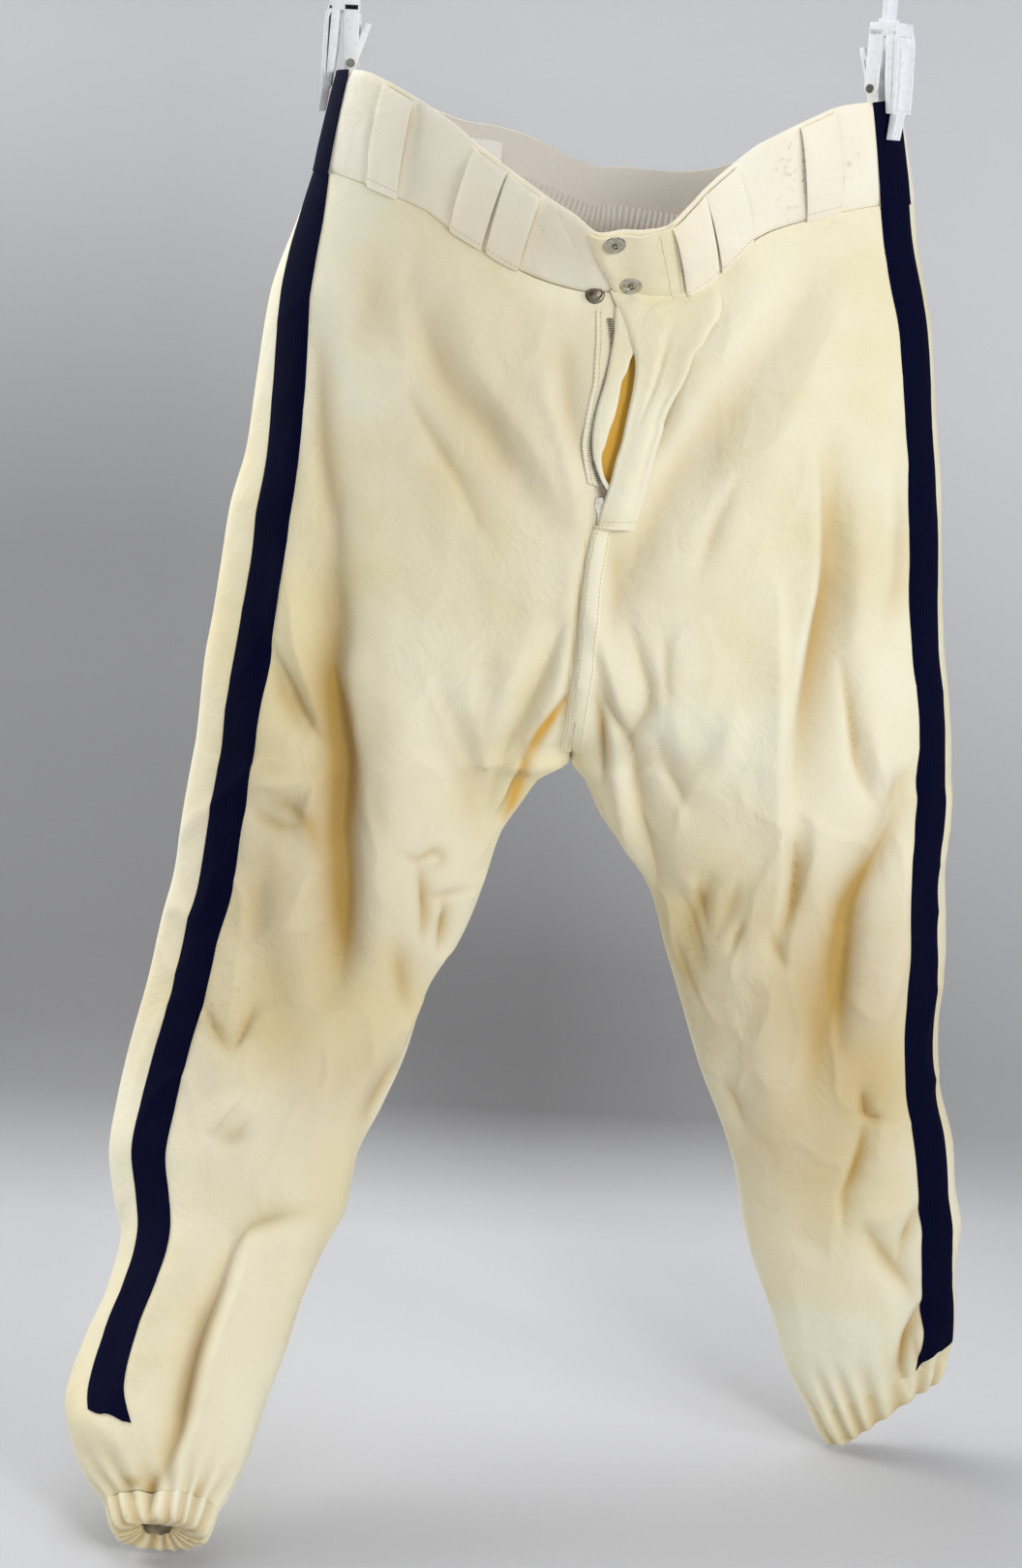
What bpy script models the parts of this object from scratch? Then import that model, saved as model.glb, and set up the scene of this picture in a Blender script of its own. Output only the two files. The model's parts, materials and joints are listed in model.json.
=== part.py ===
"""Baseball pants: cream double-knit knickers hung by their side seams.

Two white spring clips on a plain bar hold the waist; the lower legs come
forward and end in elastic hems.  Tables are in millimetres, measured from the
waist line at the side seams; the meshes are in metres.  X runs to the viewer's
right, Y away from the viewer and Z up.  The origin is the point that the hook
hangs from.
"""
import math

import bmesh
import bpy
import numpy as np

MM = 0.001
HANG = 150.0          # waist line to the hook's hanging point
CLOTH = 1.4           # one layer of double knit
BRAID = 0.8           # navy braid
GAP = 0.3             # between pieces at a seam
BRAID_WIDTH = 25.4
SECTION_POWER = 0.85  # fullness of a leg's section; 1 is an ellipse

LEG_COLUMNS = ("h", "out_x", "out_y", "in_x", "sag_front", "sag_back", "wrap",
               "front", "back", "seam", "tilt")
# h: height at the outer edge; out_x, in_x: outer and inner edge;
# out_y: the tube's middle; sag: how far the inner edge hangs below h;
# wrap: degrees round the half section (90 at a centre seam, 180 on a leg);
# front, back: depth each way; seam: side seam in from the outer edge;
# tilt: lean of the section in degrees where the leg lies forward.
LEFT_LEG = (
    (-50, 189, 0, 0, 68, 42, 90, 62, 55, 3, 0),
    (-80, 199, 0, 0, 58, 36, 90, 67, 62, 9, 0),
    (-132, 216, 0, 0, 46, 29, 90, 72, 70, 19, 0),
    (-187, 223, 0, 0, 36, 21, 90, 74, 76, 24, 0),
    (-232, 228, 0, 0, 27, 15, 90, 74, 80, 27, 0),
    (-273, 238, 0, 0, 19, 10, 90, 73, 82, 32, 0),
    (-313, 243, 0, 0, 12, 6, 90, 71, 82, 34, 0),
    (-345, 247, 0, 0, 7, 3, 97, 69, 82, 34, 0),
    (-379, 252, 0, 0, 3, 1, 117, 66, 80, 34, 0),
    (-408, 254, 0, 0, 0, 0, 143, 63, 78, 33, 0),
    (-433, 256, 0, 0, 0, 0, 180, 60, 75, 33, 0),
    (-446, 258, 0, 19, 0, 0, 180, 59, 72, 33, 0),
    (-466, 261, 0, 32, 0, 0, 180, 58, 69, 33, 0),
    (-488, 264, 0, 45, 0, 0, 180, 57, 66, 33, 0),
    (-525, 268, 0, 55, 0, 0, 180, 55, 61, 33, 0),
    (-560, 276, 0, 67, 0, 0, 180, 53, 57, 33, 0),
    (-600, 283, -6, 90, 0, 0, 180, 51, 52, 33, 0),
    (-646, 293, -18, 103, 0, 0, 180, 49, 49, 32, 4),
    (-680, 299, -29, 117, 0, 0, 180, 47, 46, 32, 9),
    (-712, 302, -45, 132, 0, 0, 180, 44, 43, 31, 15),
    (-744, 296, -61, 137, 0, 0, 180, 42, 40, 30, 22),
    (-766, 288, -78, 149, 0, 0, 180, 40, 37, 25, 27),
    (-795, 293, -102, 162, 0, 0, 180, 38, 34, 25, 32),
    (-823, 304, -125, 170, 0, 0, 180, 36, 31, 27, 37),
    (-850, 311, -154, 180, 0, 0, 180, 33, 28, 29, 42),
    (-872, 303, -178, 187, 0, 0, 180, 30, 24, 30, 48),
    (-888, 290, -195, 195, 0, 0, 180, 26, 20, 28, 54),
    (-899, 276, -208, 203, 0, 0, 180, 22, 17, 24, 60),
    (-911, 268, -222, 208, 0, 0, 180, 21, 16, 22, 62),
)
RIGHT_LEG = (
    (-50, 203, 0, 0, 68, 42, 90, 62, 55, 15, 0),
    (-80, 208, 0, 0, 58, 36, 90, 67, 62, 15, 0),
    (-132, 221, 0, 0, 46, 29, 90, 72, 70, 15, 0),
    (-187, 229, 0, 0, 36, 21, 90, 74, 76, 15, 0),
    (-232, 236, 0, 0, 27, 15, 90, 74, 80, 15, 0),
    (-273, 240, 0, 0, 19, 10, 90, 73, 82, 14, 0),
    (-313, 244, 0, 0, 12, 6, 90, 71, 82, 15, 0),
    (-345, 248, 0, 0, 7, 3, 97, 69, 82, 15, 0),
    (-379, 254, 0, 0, 3, 1, 117, 66, 80, 15, 0),
    (-408, 258, 0, 0, 0, 0, 143, 63, 78, 16, 0),
    (-433, 260, 0, 0, 0, 0, 180, 60, 75, 17, 0),
    (-446, 262, 0, 10, 0, 0, 180, 58, 72, 18, 0),
    (-466, 262, 0, 20, 0, 0, 180, 55, 69, 18, 0),
    (-488, 261, 0, 37, 0, 0, 180, 52, 66, 18, 0),
    (-525, 264, 0, 61, 0, 0, 180, 48, 62, 19, 0),
    (-560, 267, 0, 72, 0, 0, 180, 46, 58, 19, 0),
    (-600, 266, 0, 86, 0, 0, 180, 44, 54, 17, 0),
    (-646, 270, 0, 102, 0, 0, 180, 42, 50, 16, 0),
    (-694, 284, 0, 123, 0, 0, 180, 40, 46, 19, 0),
    (-724, 288, 0, 133, 0, 0, 180, 38, 43, 18, 0),
    (-756, 295, 0, 140, 0, 0, 180, 36, 40, 19, 0),
    (-787, 294, 0, 150, 2, 2, 180, 34, 36, 15, 0),
    (-813, 296, 0, 165, 12, 12, 180, 31, 32, 13, 0),
    (-836, 297, 0, 178, 28, 28, 180, 27, 28, 13, 0),
    (-855, 294, 0, 197, 45, 45, 180, 21, 22, 13, 0),
    (-872, 290, 0, 214, 55, 55, 180, 18, 18, 13, 0),
)
PANEL_END = {"left": -899.0, "right": -855.0}
# A panel is three solids end to end, split near these heights, so that each is
# a simple shell; the cloth itself is cut as one piece.
PANEL_SPLITS = {"left": ((-435.0, "thigh"), (-697.0, "shin")),
                "right": ((-435.0, "thigh"), (-665.0, "shin"))}
HEM_END = {"left": -911.0, "right": -871.0}
SIDE_SIGN = {"left": -1.0, "right": 1.0}
LEG_TABLE = {"left": LEFT_LEG, "right": RIGHT_LEG}

# Waist rim: the ring leans out at the front and back because it hangs from
# its sides.  side_x, depth and sag are for each half; z is the side's height.
RIM_Z = 12.0
RIM_SIDE_X = {"left": 176.0, "right": 188.0}
RIM_DEPTH = {"front": 104.0, "back": 90.0}
RIM_SAG = {"front": 92.0, "back": 50.0}
SAG_POWER = 1.3
SAG_ROUND = 0.01      # rounds the lowest point at a centre seam
# The back rim and seam hang lower on the right than the even curve, by x.
BACK_TRIM = ((-189, 0), (-150, -3), (-103, -5), (-71, 1), (-52, 3), (-11, 0), (10, -1),
             (39, -10), (57, -16), (78, -19), (100, -18), (125, -13), (150, -7), (172, -2),
             (190, 0))

# Largest folds of the fronts, as (name, side, depth, near width, far width,
# (x, z) points).  A positive depth is a trough.  Widths are to the left and
# right of the line as it runs down.
FOLDS = (
    ("fly drag", "left", 7, 14, 20,
     ((-123, -111), (-90, -186), (-54, -228), (-29, -255))),
    ("fly roll", "left", -6, 13, 13, ((-85, -142), (-60, -191), (-13, -255))),
    ("thigh trough", "left", 15, 24, 20,
     ((-167, -287), (-163, -343), (-159, -406), (-153, -484), (-154, -581))),
    ("crotch drag", "left", 9, 14, 14,
     ((-16, -343), (-26, -381), (-50, -464))),
    ("inner thigh", "left", 8, 16, 16, ((-95, -378), (-77, -427), (-55, -499))),
    ("knee roll", "left", -6, 20, 20, ((-240, -610), (-210, -660))),
    ("inner knee", "left", 7, 14, 18, ((-110, -614), (-131, -675))),
    ("shin valley", "left", 20, 15, 15,
     ((-202, -748), (-212, -791), (-226, -830), (-245, -872))),
    ("hip drag", "right", 10, 20, 18,
     ((135, -109), (115, -136), (95, -174), (65, -252))),
    ("fly drag", "right", 12, 15, 15,
     ((72, -200), (52, -237), (38, -269), (30, -293))),
    ("fly recess", "right", 14, 14, 14, ((10, -130), (12, -190), (10, -268))),
    ("hip pleat", "right", 13, 12, 22,
     ((154, -219), (159, -298), (154, -360), (151, -435))),
    ("thigh ridge", "right", -7, 18, 14,
     ((130, -340), (137, -438), (145, -508), (150, -555))),
    ("thigh pocket", "right", 9, 10, 18,
     ((152, -440), (158, -500), (160, -552))),
    ("outer knee", "right", 8, 16, 16,
     ((213, -444), (192, -506), (191, -605))),
    ("inner thigh", "right", 8, 14, 14,
     ((17, -351), (34, -406), (49, -479), (64, -530))),
    ("shin drag", "right", 8, 13, 13, ((221, -746), (243, -774), (265, -805))),
    ("cuff pinch", "right", 8, 12, 12,
     ((274, -804), (256, -833), (258, -862))),
)
BACK_FOLDS = (
    ("seat drape", "left", 9, 26, 30, ((-60, -250), (-100, -360), (-150, -430))),
    ("seat drape", "right", 9, 30, 26, ((60, -260), (110, -370), (160, -430))),
    ("knee back", "left", 8, 24, 24, ((-235, -560), (-190, -620), (-165, -650))),
    ("knee back", "right", 8, 24, 24, ((110, -600), (170, -640), (230, -620))),
)

# Belt loops: name, x at the rim, x at the seam, width.
LOOPS = (
    ("belt_loop_front_1", -132, -142, 20),
    ("belt_loop_front_2", -72, -87, 21),
    ("belt_loop_front_3", -50, -63, 21),
    ("belt_loop_front_4", 50, 65, 19),
    ("belt_loop_front_5", 69, 86, 19),
    ("belt_loop_front_6", 128, 140, 22),
)
BACK_LOOPS = (
    ("belt_loop_back_1", -75, -80, 21),
    ("belt_loop_back_2", 75, 80, 21),
)

COLOURS = {
    "cream_knit": ((0.79, 0.72, 0.50), 0.85, 0.0),
    "navy_braid": ((0.008, 0.007, 0.045), 0.75, 0.0),
    "grey_elastic": ((0.62, 0.58, 0.53), 0.8, 0.0),
    "white_label": ((0.85, 0.83, 0.80), 0.7, 0.0),
    "nickel": ((0.62, 0.60, 0.56), 0.25, 1.0),
    "white_plastic": ((0.86, 0.88, 0.90), 0.35, 0.0),
    "chrome_wire": ((0.70, 0.70, 0.70), 0.2, 1.0),
}


# ---------------------------------------------------------------- scene
def clear_scene():
    """Remove the objects that a new file starts with."""
    for old in list(bpy.data.objects):
        bpy.data.objects.remove(old, do_unlink=True)


def material(name):
    """One Principled material for each finish."""
    found = bpy.data.materials.get(name)
    if found:
        return found
    colour, roughness, metallic = COLOURS[name]
    made = bpy.data.materials.new(name)
    made.use_nodes = True
    shader = made.node_tree.nodes["Principled BSDF"]
    shader.inputs["Base Color"].default_value = (*colour, 1.0)
    shader.inputs["Roughness"].default_value = roughness
    shader.inputs["Metallic"].default_value = metallic
    made.diffuse_color = (*colour, 1.0)
    return made


def collection(name):
    """A collection for the parts, or for the cutters."""
    found = bpy.data.collections.get(name)
    if found:
        return found
    made = bpy.data.collections.new(name)
    bpy.context.scene.collection.children.link(made)
    return made


def add_object(name, verts, faces, finish, smooth=True, group="parts"):
    """Make a mesh object from millimetre points."""
    mesh = bpy.data.meshes.new(name)
    points = np.asarray(verts, dtype=float).copy()
    points[:, 2] -= HANG
    mesh.from_pydata((points * MM).tolist(), [], faces)
    mesh.validate()
    work = bmesh.new()
    work.from_mesh(mesh)
    bmesh.ops.recalc_face_normals(work, faces=work.faces)
    work.to_mesh(mesh)
    work.free()
    for face in mesh.polygons:
        face.use_smooth = smooth
    mesh.materials.append(material(finish))
    made = bpy.data.objects.new(name, mesh)
    collection(group).objects.link(made)
    return made


# ---------------------------------------------------------------- form
def smooth_lookup(keys, values, at):
    """Cubic through a short table, with no overshoot between its rows."""
    keys = np.asarray(keys, dtype=float)
    values = np.asarray(values, dtype=float)
    at = np.clip(np.asarray(at, dtype=float), keys[0], keys[-1])
    steps = np.diff(keys)
    rises = np.diff(values) / steps
    slopes = np.zeros(len(keys))
    same = rises[:-1] * rises[1:] > 0
    slopes[1:-1][same] = (2 * rises[:-1] * rises[1:] / (rises[:-1] + rises[1:] + 1e-12))[same]
    slopes[0], slopes[-1] = rises[0], rises[-1]
    low = np.clip(np.searchsorted(keys, at) - 1, 0, len(keys) - 2)
    t = (at - keys[low]) / steps[low]
    span = steps[low]
    return ((2 * t**3 - 3 * t**2 + 1) * values[low] + (t**3 - 2 * t**2 + t) * span * slopes[low]
            + (3 * t**2 - 2 * t**3) * values[low + 1] + (t**3 - t**2) * span * slopes[low + 1])


def leg_value(side, name, h):
    """A column of the leg's table at height h."""
    table = np.array(LEG_TABLE[side], dtype=float)[::-1]
    return smooth_lookup(table[:, 0], table[:, LEG_COLUMNS.index(name)], h)


def smoothstep(low, high, value):
    """0 below low, 1 above high."""
    t = np.clip((value - low) / (high - low), 0.0, 1.0)
    return t * t * (3 - 2 * t)


def fold_depth(folds, side, x, z):
    """How far the folds push the cloth inwards at a point of one side."""
    total = np.zeros(np.shape(x))
    for name, where, depth, near, far, path in folds:
        if where != side:
            continue
        best = np.full(np.shape(x), 1e9)
        signed = np.zeros(np.shape(x))
        along = np.zeros(np.shape(x))
        lengths = [math.dist(path[i], path[i + 1]) for i in range(len(path) - 1)]
        run = 0.0
        for i, length in enumerate(lengths):
            (x0, z0), (x1, z1) = path[i], path[i + 1]
            dx, dz = (x1 - x0) / length, (z1 - z0) / length
            part = np.clip((x - x0) * dx + (z - z0) * dz, 0, length)
            off_x, off_z = x - x0 - part * dx, z - z0 - part * dz
            away = np.hypot(off_x, off_z)
            closer = away < best
            best = np.where(closer, away, best)
            signed = np.where(closer, off_x, signed)
            along = np.where(closer, run + part, along)
            run += length
        width = np.where(signed < 0, near, far)
        share = along / run
        taper = 0.35 + 0.65 * np.sin(math.pi * np.clip(share * 0.86 + 0.07, 0, 1)) ** 0.7
        centre = 1.0 if name == "fly recess" else smoothstep(2, 20, np.abs(x))
        total = total + depth * taper * centre * np.exp(-(best / width) ** 2)
    return total


def hang_share(across):
    """Share of the full sag, 0 at the outer edge and 1 at the inner one."""
    down = 1 - np.sqrt((1 - across) ** 2 + SAG_ROUND)
    return np.clip(down / (1 - math.sqrt(SAG_ROUND)), 0, 1) ** SAG_POWER


def back_trim(x):
    """How far the back rim and seam lie off the even curve at x."""
    keys, values = zip(*BACK_TRIM)
    return smooth_lookup(keys, values, x)


def leg_point(side, theta, h, folded=True):
    """Point of a leg's outer face.

    theta is the angle round the section from its outer edge: positive round
    the front, negative round the back.
    """
    theta, h = np.broadcast_arrays(np.asarray(theta, float), np.asarray(h, float))
    get = {name: leg_value(side, name, h) for name in LEG_COLUMNS[1:]}
    is_front = theta >= 0
    turn = np.abs(theta)
    cos_end = np.cos(np.radians(get["wrap"]))
    radius = (get["out_x"] - get["in_x"]) / (1 - cos_end)
    across = np.clip((1 - np.cos(turn)) / (1 - cos_end), 0, 1)
    x = get["out_x"] - radius * (1 - np.cos(turn))
    bulge = np.maximum(np.sin(turn), 0) ** SECTION_POWER
    depth = np.where(is_front, -get["front"], get["back"]) * bulge
    tilt = np.radians(get["tilt"])
    sag = np.where(is_front, get["sag_front"], get["sag_back"])
    y = get["out_y"] + depth * np.cos(tilt)
    z = h - sag * hang_share(across) - depth * np.sin(tilt)
    x = x * SIDE_SIGN[side]
    z = z + np.where(is_front, 0, back_trim(x) * smoothstep(-210, -50, h))
    if folded:
        fade = smoothstep(0.15, 0.6, np.sin(turn)) * smoothstep(-52, -80, h)
        fade = fade * smoothstep(-905, -870, h)
        push = np.where(is_front, fold_depth(FOLDS, side, x, z),
                        -fold_depth(BACK_FOLDS, side, x, z))
        y = y + push * fade
    return np.stack([x, y, z], axis=-1)


def leg_normal(side, theta, h):
    """Normal of a leg's outer face, the same for every piece at that point."""
    theta, h = np.broadcast_arrays(np.asarray(theta, float), np.asarray(h, float))
    limit = wrap_angle(side, h)
    ahead = leg_point(side, np.clip(theta + 0.03, -limit, limit), h)
    behind = leg_point(side, np.clip(theta - 0.03, -limit, limit), h)
    above = leg_point(side, theta, h + 1.5)
    below = leg_point(side, theta, h - 1.5)
    return np.cross(ahead - behind, above - below)


def band_normal(side, theta, share):
    """Normal of the waistband's outer face."""
    theta, share = np.broadcast_arrays(np.asarray(theta, float), np.asarray(share, float))
    limit = math.pi / 2
    ahead = side_band_point(side, np.clip(theta + 0.02, -limit, limit), share)
    behind = side_band_point(side, np.clip(theta - 0.02, -limit, limit), share)
    above = side_band_point(side, theta, share - 0.05)
    below = side_band_point(side, theta, share + 0.05)
    return np.cross(ahead - behind, above - below)


def seam_angle(side, h):
    """Angle of the side seam from the outer edge."""
    radius = ((leg_value(side, "out_x", h) - leg_value(side, "in_x", h))
              / (1 - np.cos(np.radians(leg_value(side, "wrap", h)))))
    return np.arccos(1 - leg_value(side, "seam", h) / radius)


def wrap_angle(side, h):
    """Angle of the inner edge."""
    return np.radians(leg_value(side, "wrap", h))


def rim_point(side, face, theta):
    """Point of the waist's upper rim at an angle from the side."""
    across = 1 - np.cos(theta)
    bulge = np.maximum(np.sin(theta), 0) ** SECTION_POWER
    x = RIM_SIDE_X[side] * np.cos(theta) * SIDE_SIGN[side]
    y = RIM_DEPTH[face] * bulge * (-1 if face == "front" else 1)
    z = RIM_Z - RIM_SAG[face] * hang_share(across)
    if face == "back":
        z = z + back_trim(x)
    return np.stack([x, y, z], axis=-1)


def band_point(side, face, theta, share):
    """Point of the waistband: share 0 at the rim, 1 at the waist seam."""
    theta, share = np.broadcast_arrays(np.asarray(theta, float), np.asarray(share, float))
    top = rim_point(side, face, theta)
    bottom = leg_point(side, theta if face == "front" else -theta,
                       np.full(theta.shape, -50.0), folded=False)
    mixed = top + (bottom - top) * share[..., None]
    return mixed


# ---------------------------------------------------------------- solids
def grid_normals(grid, hint):
    """Unit normals of a grid of points, turned to the hint's side."""
    du = np.gradient(grid, axis=0)
    dv = np.gradient(grid, axis=1)
    normal = np.cross(du, dv)
    normal /= np.maximum(np.linalg.norm(normal, axis=-1, keepdims=True), 1e-9)
    if np.sum(normal * hint) < 0:
        normal = -normal
    return normal


def pull_edges(grid, amount=GAP / 2):
    """Draw the four edges of a grid in by half a seam gap."""
    out = grid.copy()
    for axis in (0, 1):
        work = np.moveaxis(out, axis, 0)
        source = np.moveaxis(grid, axis, 0)
        for edge, inner in ((0, 1), (-1, -2)):
            step = source[inner] - source[edge]
            length = np.maximum(np.linalg.norm(step, axis=-1, keepdims=True), 1e-9)
            work[edge] = work[edge] + step / length * amount
    return out


def facing(normal, hint):
    """Unit normals, turned as a whole to the hint's side."""
    normal = normal / np.maximum(np.linalg.norm(normal, axis=-1, keepdims=True), 1e-9)
    return -normal if np.sum(normal * hint) < 0 else normal


def shell(name, grid, thickness, finish, hint, lift=0.0, ring=False, pull=True, normal=None,
          mirrored=False):
    """Closed cloth wall on a grid of outer points (rows by columns).

    The wall is built inwards from the grid; lift moves it outwards first.
    A ring grid closes on itself along its second axis.  Pieces that meet pass
    the surface's own normals, so that their edges stay parallel.  mirrored
    turns the diagonals, for a grid whose columns run the other way.
    """
    grid = np.asarray(grid, dtype=float)
    if normal is not None:
        normal = facing(normal, hint_field(grid, hint))
    elif ring:
        wide = np.concatenate([grid[:, -1:], grid, grid[:, :1]], axis=1)
        normal = grid_normals(wide, hint_field(wide, hint))[:, 1:-1]
    else:
        normal = grid_normals(grid, hint_field(grid, hint))
    if pull and not ring:
        grid = pull_edges(grid)
    outer = grid + normal * lift
    inner = outer - normal * thickness
    rows, cols = grid.shape[:2]
    verts = np.concatenate([outer.reshape(-1, 3), inner.reshape(-1, 3)])
    count = rows * cols
    faces = []
    last = cols if ring else cols - 1
    for r in range(rows - 1):
        for c in range(last):
            d = (c + 1) % cols
            a, b = r * cols + c, r * cols + d
            e, f = (r + 1) * cols + d, (r + 1) * cols + c
            for tri in (((a, b, f), (b, e, f)) if mirrored else ((a, b, e), (a, e, f))):
                faces.append(tri)
                faces.append(tuple(count + k for k in reversed(tri)))
    for c in range(last):
        d = (c + 1) % cols
        for r in (0, rows - 1):
            a, b = r * cols + c, r * cols + d
            faces.append((a, b, count + b, count + a))
    if not ring:
        for r in range(rows - 1):
            for c in (0, cols - 1):
                a, b = r * cols + c, (r + 1) * cols + c
                faces.append((a, b, count + b, count + a))
    return add_object(name, verts, faces, finish)


def hint_field(grid, hint):
    """A rough outward direction: a vector, or away from the grid's middle line."""
    if hint is not None:
        return np.broadcast_to(np.asarray(hint, float), grid.shape)
    middle = grid.mean(axis=1, keepdims=True)
    return grid - middle


def panel_rows(side):
    """Heights of a panel's rows, closer together round the crotch."""
    top = np.linspace(-50, -330, 10, endpoint=False)
    crotch = np.linspace(-330, -470, 8, endpoint=False)
    leg = np.linspace(-470, PANEL_END[side], 18)
    return np.concatenate([top, crotch, leg])


def seam_columns(side, h, folded=True):
    """Angles at the seam and at the braid's quarter lines, from back to front."""
    middle = float(seam_angle(side, h))
    theta = np.linspace(middle - 1.5, middle + 1.0, 260)
    ring = leg_point(side, theta, np.full(theta.shape, float(h)), folded=folded)
    steps = np.linalg.norm(np.diff(ring, axis=0), axis=1)
    run = np.concatenate([[0], np.cumsum(steps)])
    zero = np.interp(middle, theta, run)
    offsets = np.linspace(-BRAID_WIDTH / 2, BRAID_WIDTH / 2, 5)
    return np.interp(zero + offsets, run, theta)


def panel_angles(side, face, h, columns):
    """Angles of one row of a panel: three under the braid, then even steps."""
    near = seam_columns(side, h)
    inner = float(wrap_angle(side, h))
    if face == "front":
        return np.concatenate([near[2:4], np.linspace(near[4], inner, columns)])
    return np.concatenate([near[2:0:-1], np.linspace(near[0], -inner, columns)])


def build_panel(side, face, columns):
    """One front or back panel from waist seam to hem, side seam to inside."""
    rows = panel_rows(side)
    theta = np.array([panel_angles(side, face, h, columns) for h in rows])
    grid = leg_point(side, theta, rows[:, None])
    normal = leg_normal(side, theta, rows[:, None])
    hint = (0, -1, 0) if face == "front" else (0, 1, 0)
    names = [f"{face}_{side}"] + [f"{face}_{side}_{word}" for _, word in PANEL_SPLITS[side]]
    cuts = [int(np.argmin(np.abs(rows - h))) for h, _ in PANEL_SPLITS[side]]
    for name, top, low in zip(names, [0] + cuts, cuts + [len(rows) - 1]):
        span = slice(top, low + 1)
        shell(name, grid[span], CLOTH, "cream_knit", hint, normal=normal[span],
              mirrored=face == "back")


def build_leg_braid(side, last):
    """Navy braid over the side seam, made from the panels' own points."""
    rows = panel_rows(side)
    rows = rows[rows > last]
    theta = np.array([seam_columns(side, h) for h in rows])
    grid = leg_point(side, theta, rows[:, None])
    return shell(f"braid_leg_{side}", grid, BRAID, "navy_braid",
                 (SIDE_SIGN[side] * 0.6, -1, 0), lift=GAP + BRAID + 0.15,
                 normal=leg_normal(side, theta, rows[:, None]))


def band_angles(side, face, columns):
    """Angles of a waistband's points, three of them under the braid."""
    near = seam_columns(side, -50.0, folded=False)
    if face == "front":
        return np.concatenate([near[2:4], np.linspace(near[4], math.pi / 2, columns)])
    return np.concatenate([near[2:0:-1], np.linspace(near[0], -math.pi / 2, columns)])


def side_band_point(side, theta, share):
    """Waistband point for an angle that may pass from front to back."""
    theta, share = np.broadcast_arrays(np.asarray(theta, float), np.asarray(share, float))
    front = band_point(side, "front", np.abs(theta), share)
    back = band_point(side, "back", np.abs(theta), share)
    return np.where((theta >= 0)[..., None], front, back)


def build_waistband():
    """Two front bands, one back band, and the elastic inside the back."""
    share = np.linspace(0, 1, 5)[:, None]
    for side in ("left", "right"):
        theta = band_angles(side, "front", 14)[None, :]
        grid = side_band_point(side, theta, share)
        shell(f"waistband_front_{side}", grid, CLOTH, "cream_knit", (0, -1, 0),
              normal=band_normal(side, theta, share))
    halves, linings, facings, backings = [], [], [], []
    lined = np.linspace(0.02, 0.97, 5)[:, None]
    for side in ("left", "right"):
        theta = band_angles(side, "back", 12)[None, :]
        order = slice(None) if side == "left" else slice(-2, None, -1)
        turn = SIDE_SIGN[side]
        halves.append(side_band_point(side, theta, share)[:, order])
        facings.append(turn * band_normal(side, theta, share)[:, order])
        order = slice(4, None) if side == "left" else slice(-2, 3, -1)
        linings.append(side_band_point(side, theta, lined)[:, order])
        backings.append(turn * band_normal(side, theta, lined)[:, order])
    shell("waistband_back", np.concatenate(halves, axis=1), CLOTH, "cream_knit", (0, 1, 0),
          normal=np.concatenate(facings, axis=1))
    shell("elastic_back", np.concatenate(linings, axis=1), 1.2, "grey_elastic", (0, 1, 0),
          lift=-(CLOTH + GAP), normal=np.concatenate(backings, axis=1))


def build_band_braid(side):
    """Navy braid piece on the waistband, in line with the leg's."""
    theta = seam_columns(side, -50.0, folded=False)[None, :]
    grid = side_band_point(side, theta, np.linspace(0.0, 0.985, 5)[:, None])
    shell(f"braid_waist_{side}", grid, BRAID, "navy_braid", (SIDE_SIGN[side], 0, 0),
          lift=GAP + BRAID, normal=band_normal(side, theta, np.linspace(0.0, 0.985, 5)[:, None]))


def build_loop(name, rim_x, seam_x, width, face):
    """A belt loop that stands off the waistband between its two ends."""
    side = "left" if rim_x < 0 else "right"
    share = np.linspace(0.03, 0.99, 7)
    rows = []
    for s in share:
        row = []
        for edge in (-0.5, 0.0, 0.5):
            top_x = abs(rim_x) + edge * width * SIDE_SIGN[side]
            low_x = abs(seam_x) + edge * width * SIDE_SIGN[side]
            top = math.acos(min(top_x / RIM_SIDE_X[side], 1))
            low = math.acos(min(low_x / LEG_TABLE[side][0][1], 1))
            theta = top + (low - top) * s
            row.append(band_point(side, face, theta, s))
        rows.append(row)
    grid = np.array(rows)
    hint = np.array((0, -1 if face == "front" else 1, 0.0))
    normal = grid_normals(grid, np.broadcast_to(hint, grid.shape))
    arch = 3.2 * np.sin(math.pi * np.clip((share - 0.03) / 0.96, 0, 1)) ** 0.6
    grid = grid + normal * arch[:, None, None]
    shell(name, grid, 1.2, "cream_knit", hint, lift=GAP + 1.2, pull=False)


def build_snap_tab():
    """The right band's end, lapped over the left one and held by snaps."""
    left_edge = np.array(((-8, -79), (-4, -92), (3, -107), (9, -121)), float)
    right_x = np.array((40, 42, 45, 48), float)
    rows = []
    for i, s in enumerate((0.0, 0.33, 0.67, 1.0)):
        row = []
        for t in np.linspace(0, 1, 6):
            x = left_edge[i][0] + (right_x[i] - left_edge[i][0]) * t
            side = "left" if x < 0 else "right"
            top = math.acos(abs(x) / RIM_SIDE_X[side])
            low = math.acos(abs(x) / LEG_TABLE[side][0][1])
            row.append(band_point(side, "front", top + (low - top) * s, s))
        rows.append(row)
    shell("snap_tab", np.array(rows), CLOTH, "cream_knit", (0, -1, 0),
          lift=CLOTH + 2.2, pull=False)


def band_frame(x, share):
    """A point on the front band and its outward normal."""
    side = "left" if x < 0 else "right"
    top = math.acos(abs(x) / RIM_SIDE_X[side])
    low = math.acos(abs(x) / LEG_TABLE[side][0][1])
    theta = top + (low - top) * share
    point = band_point(side, "front", theta, share)
    above = band_point(side, "front", theta, share - 0.1)
    beside = band_point(side, "front", theta - 0.03, share)
    normal = np.cross(above - point, beside - point)
    normal /= np.linalg.norm(normal)
    if normal[1] > 0:
        normal = -normal
    return point, normal


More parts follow.
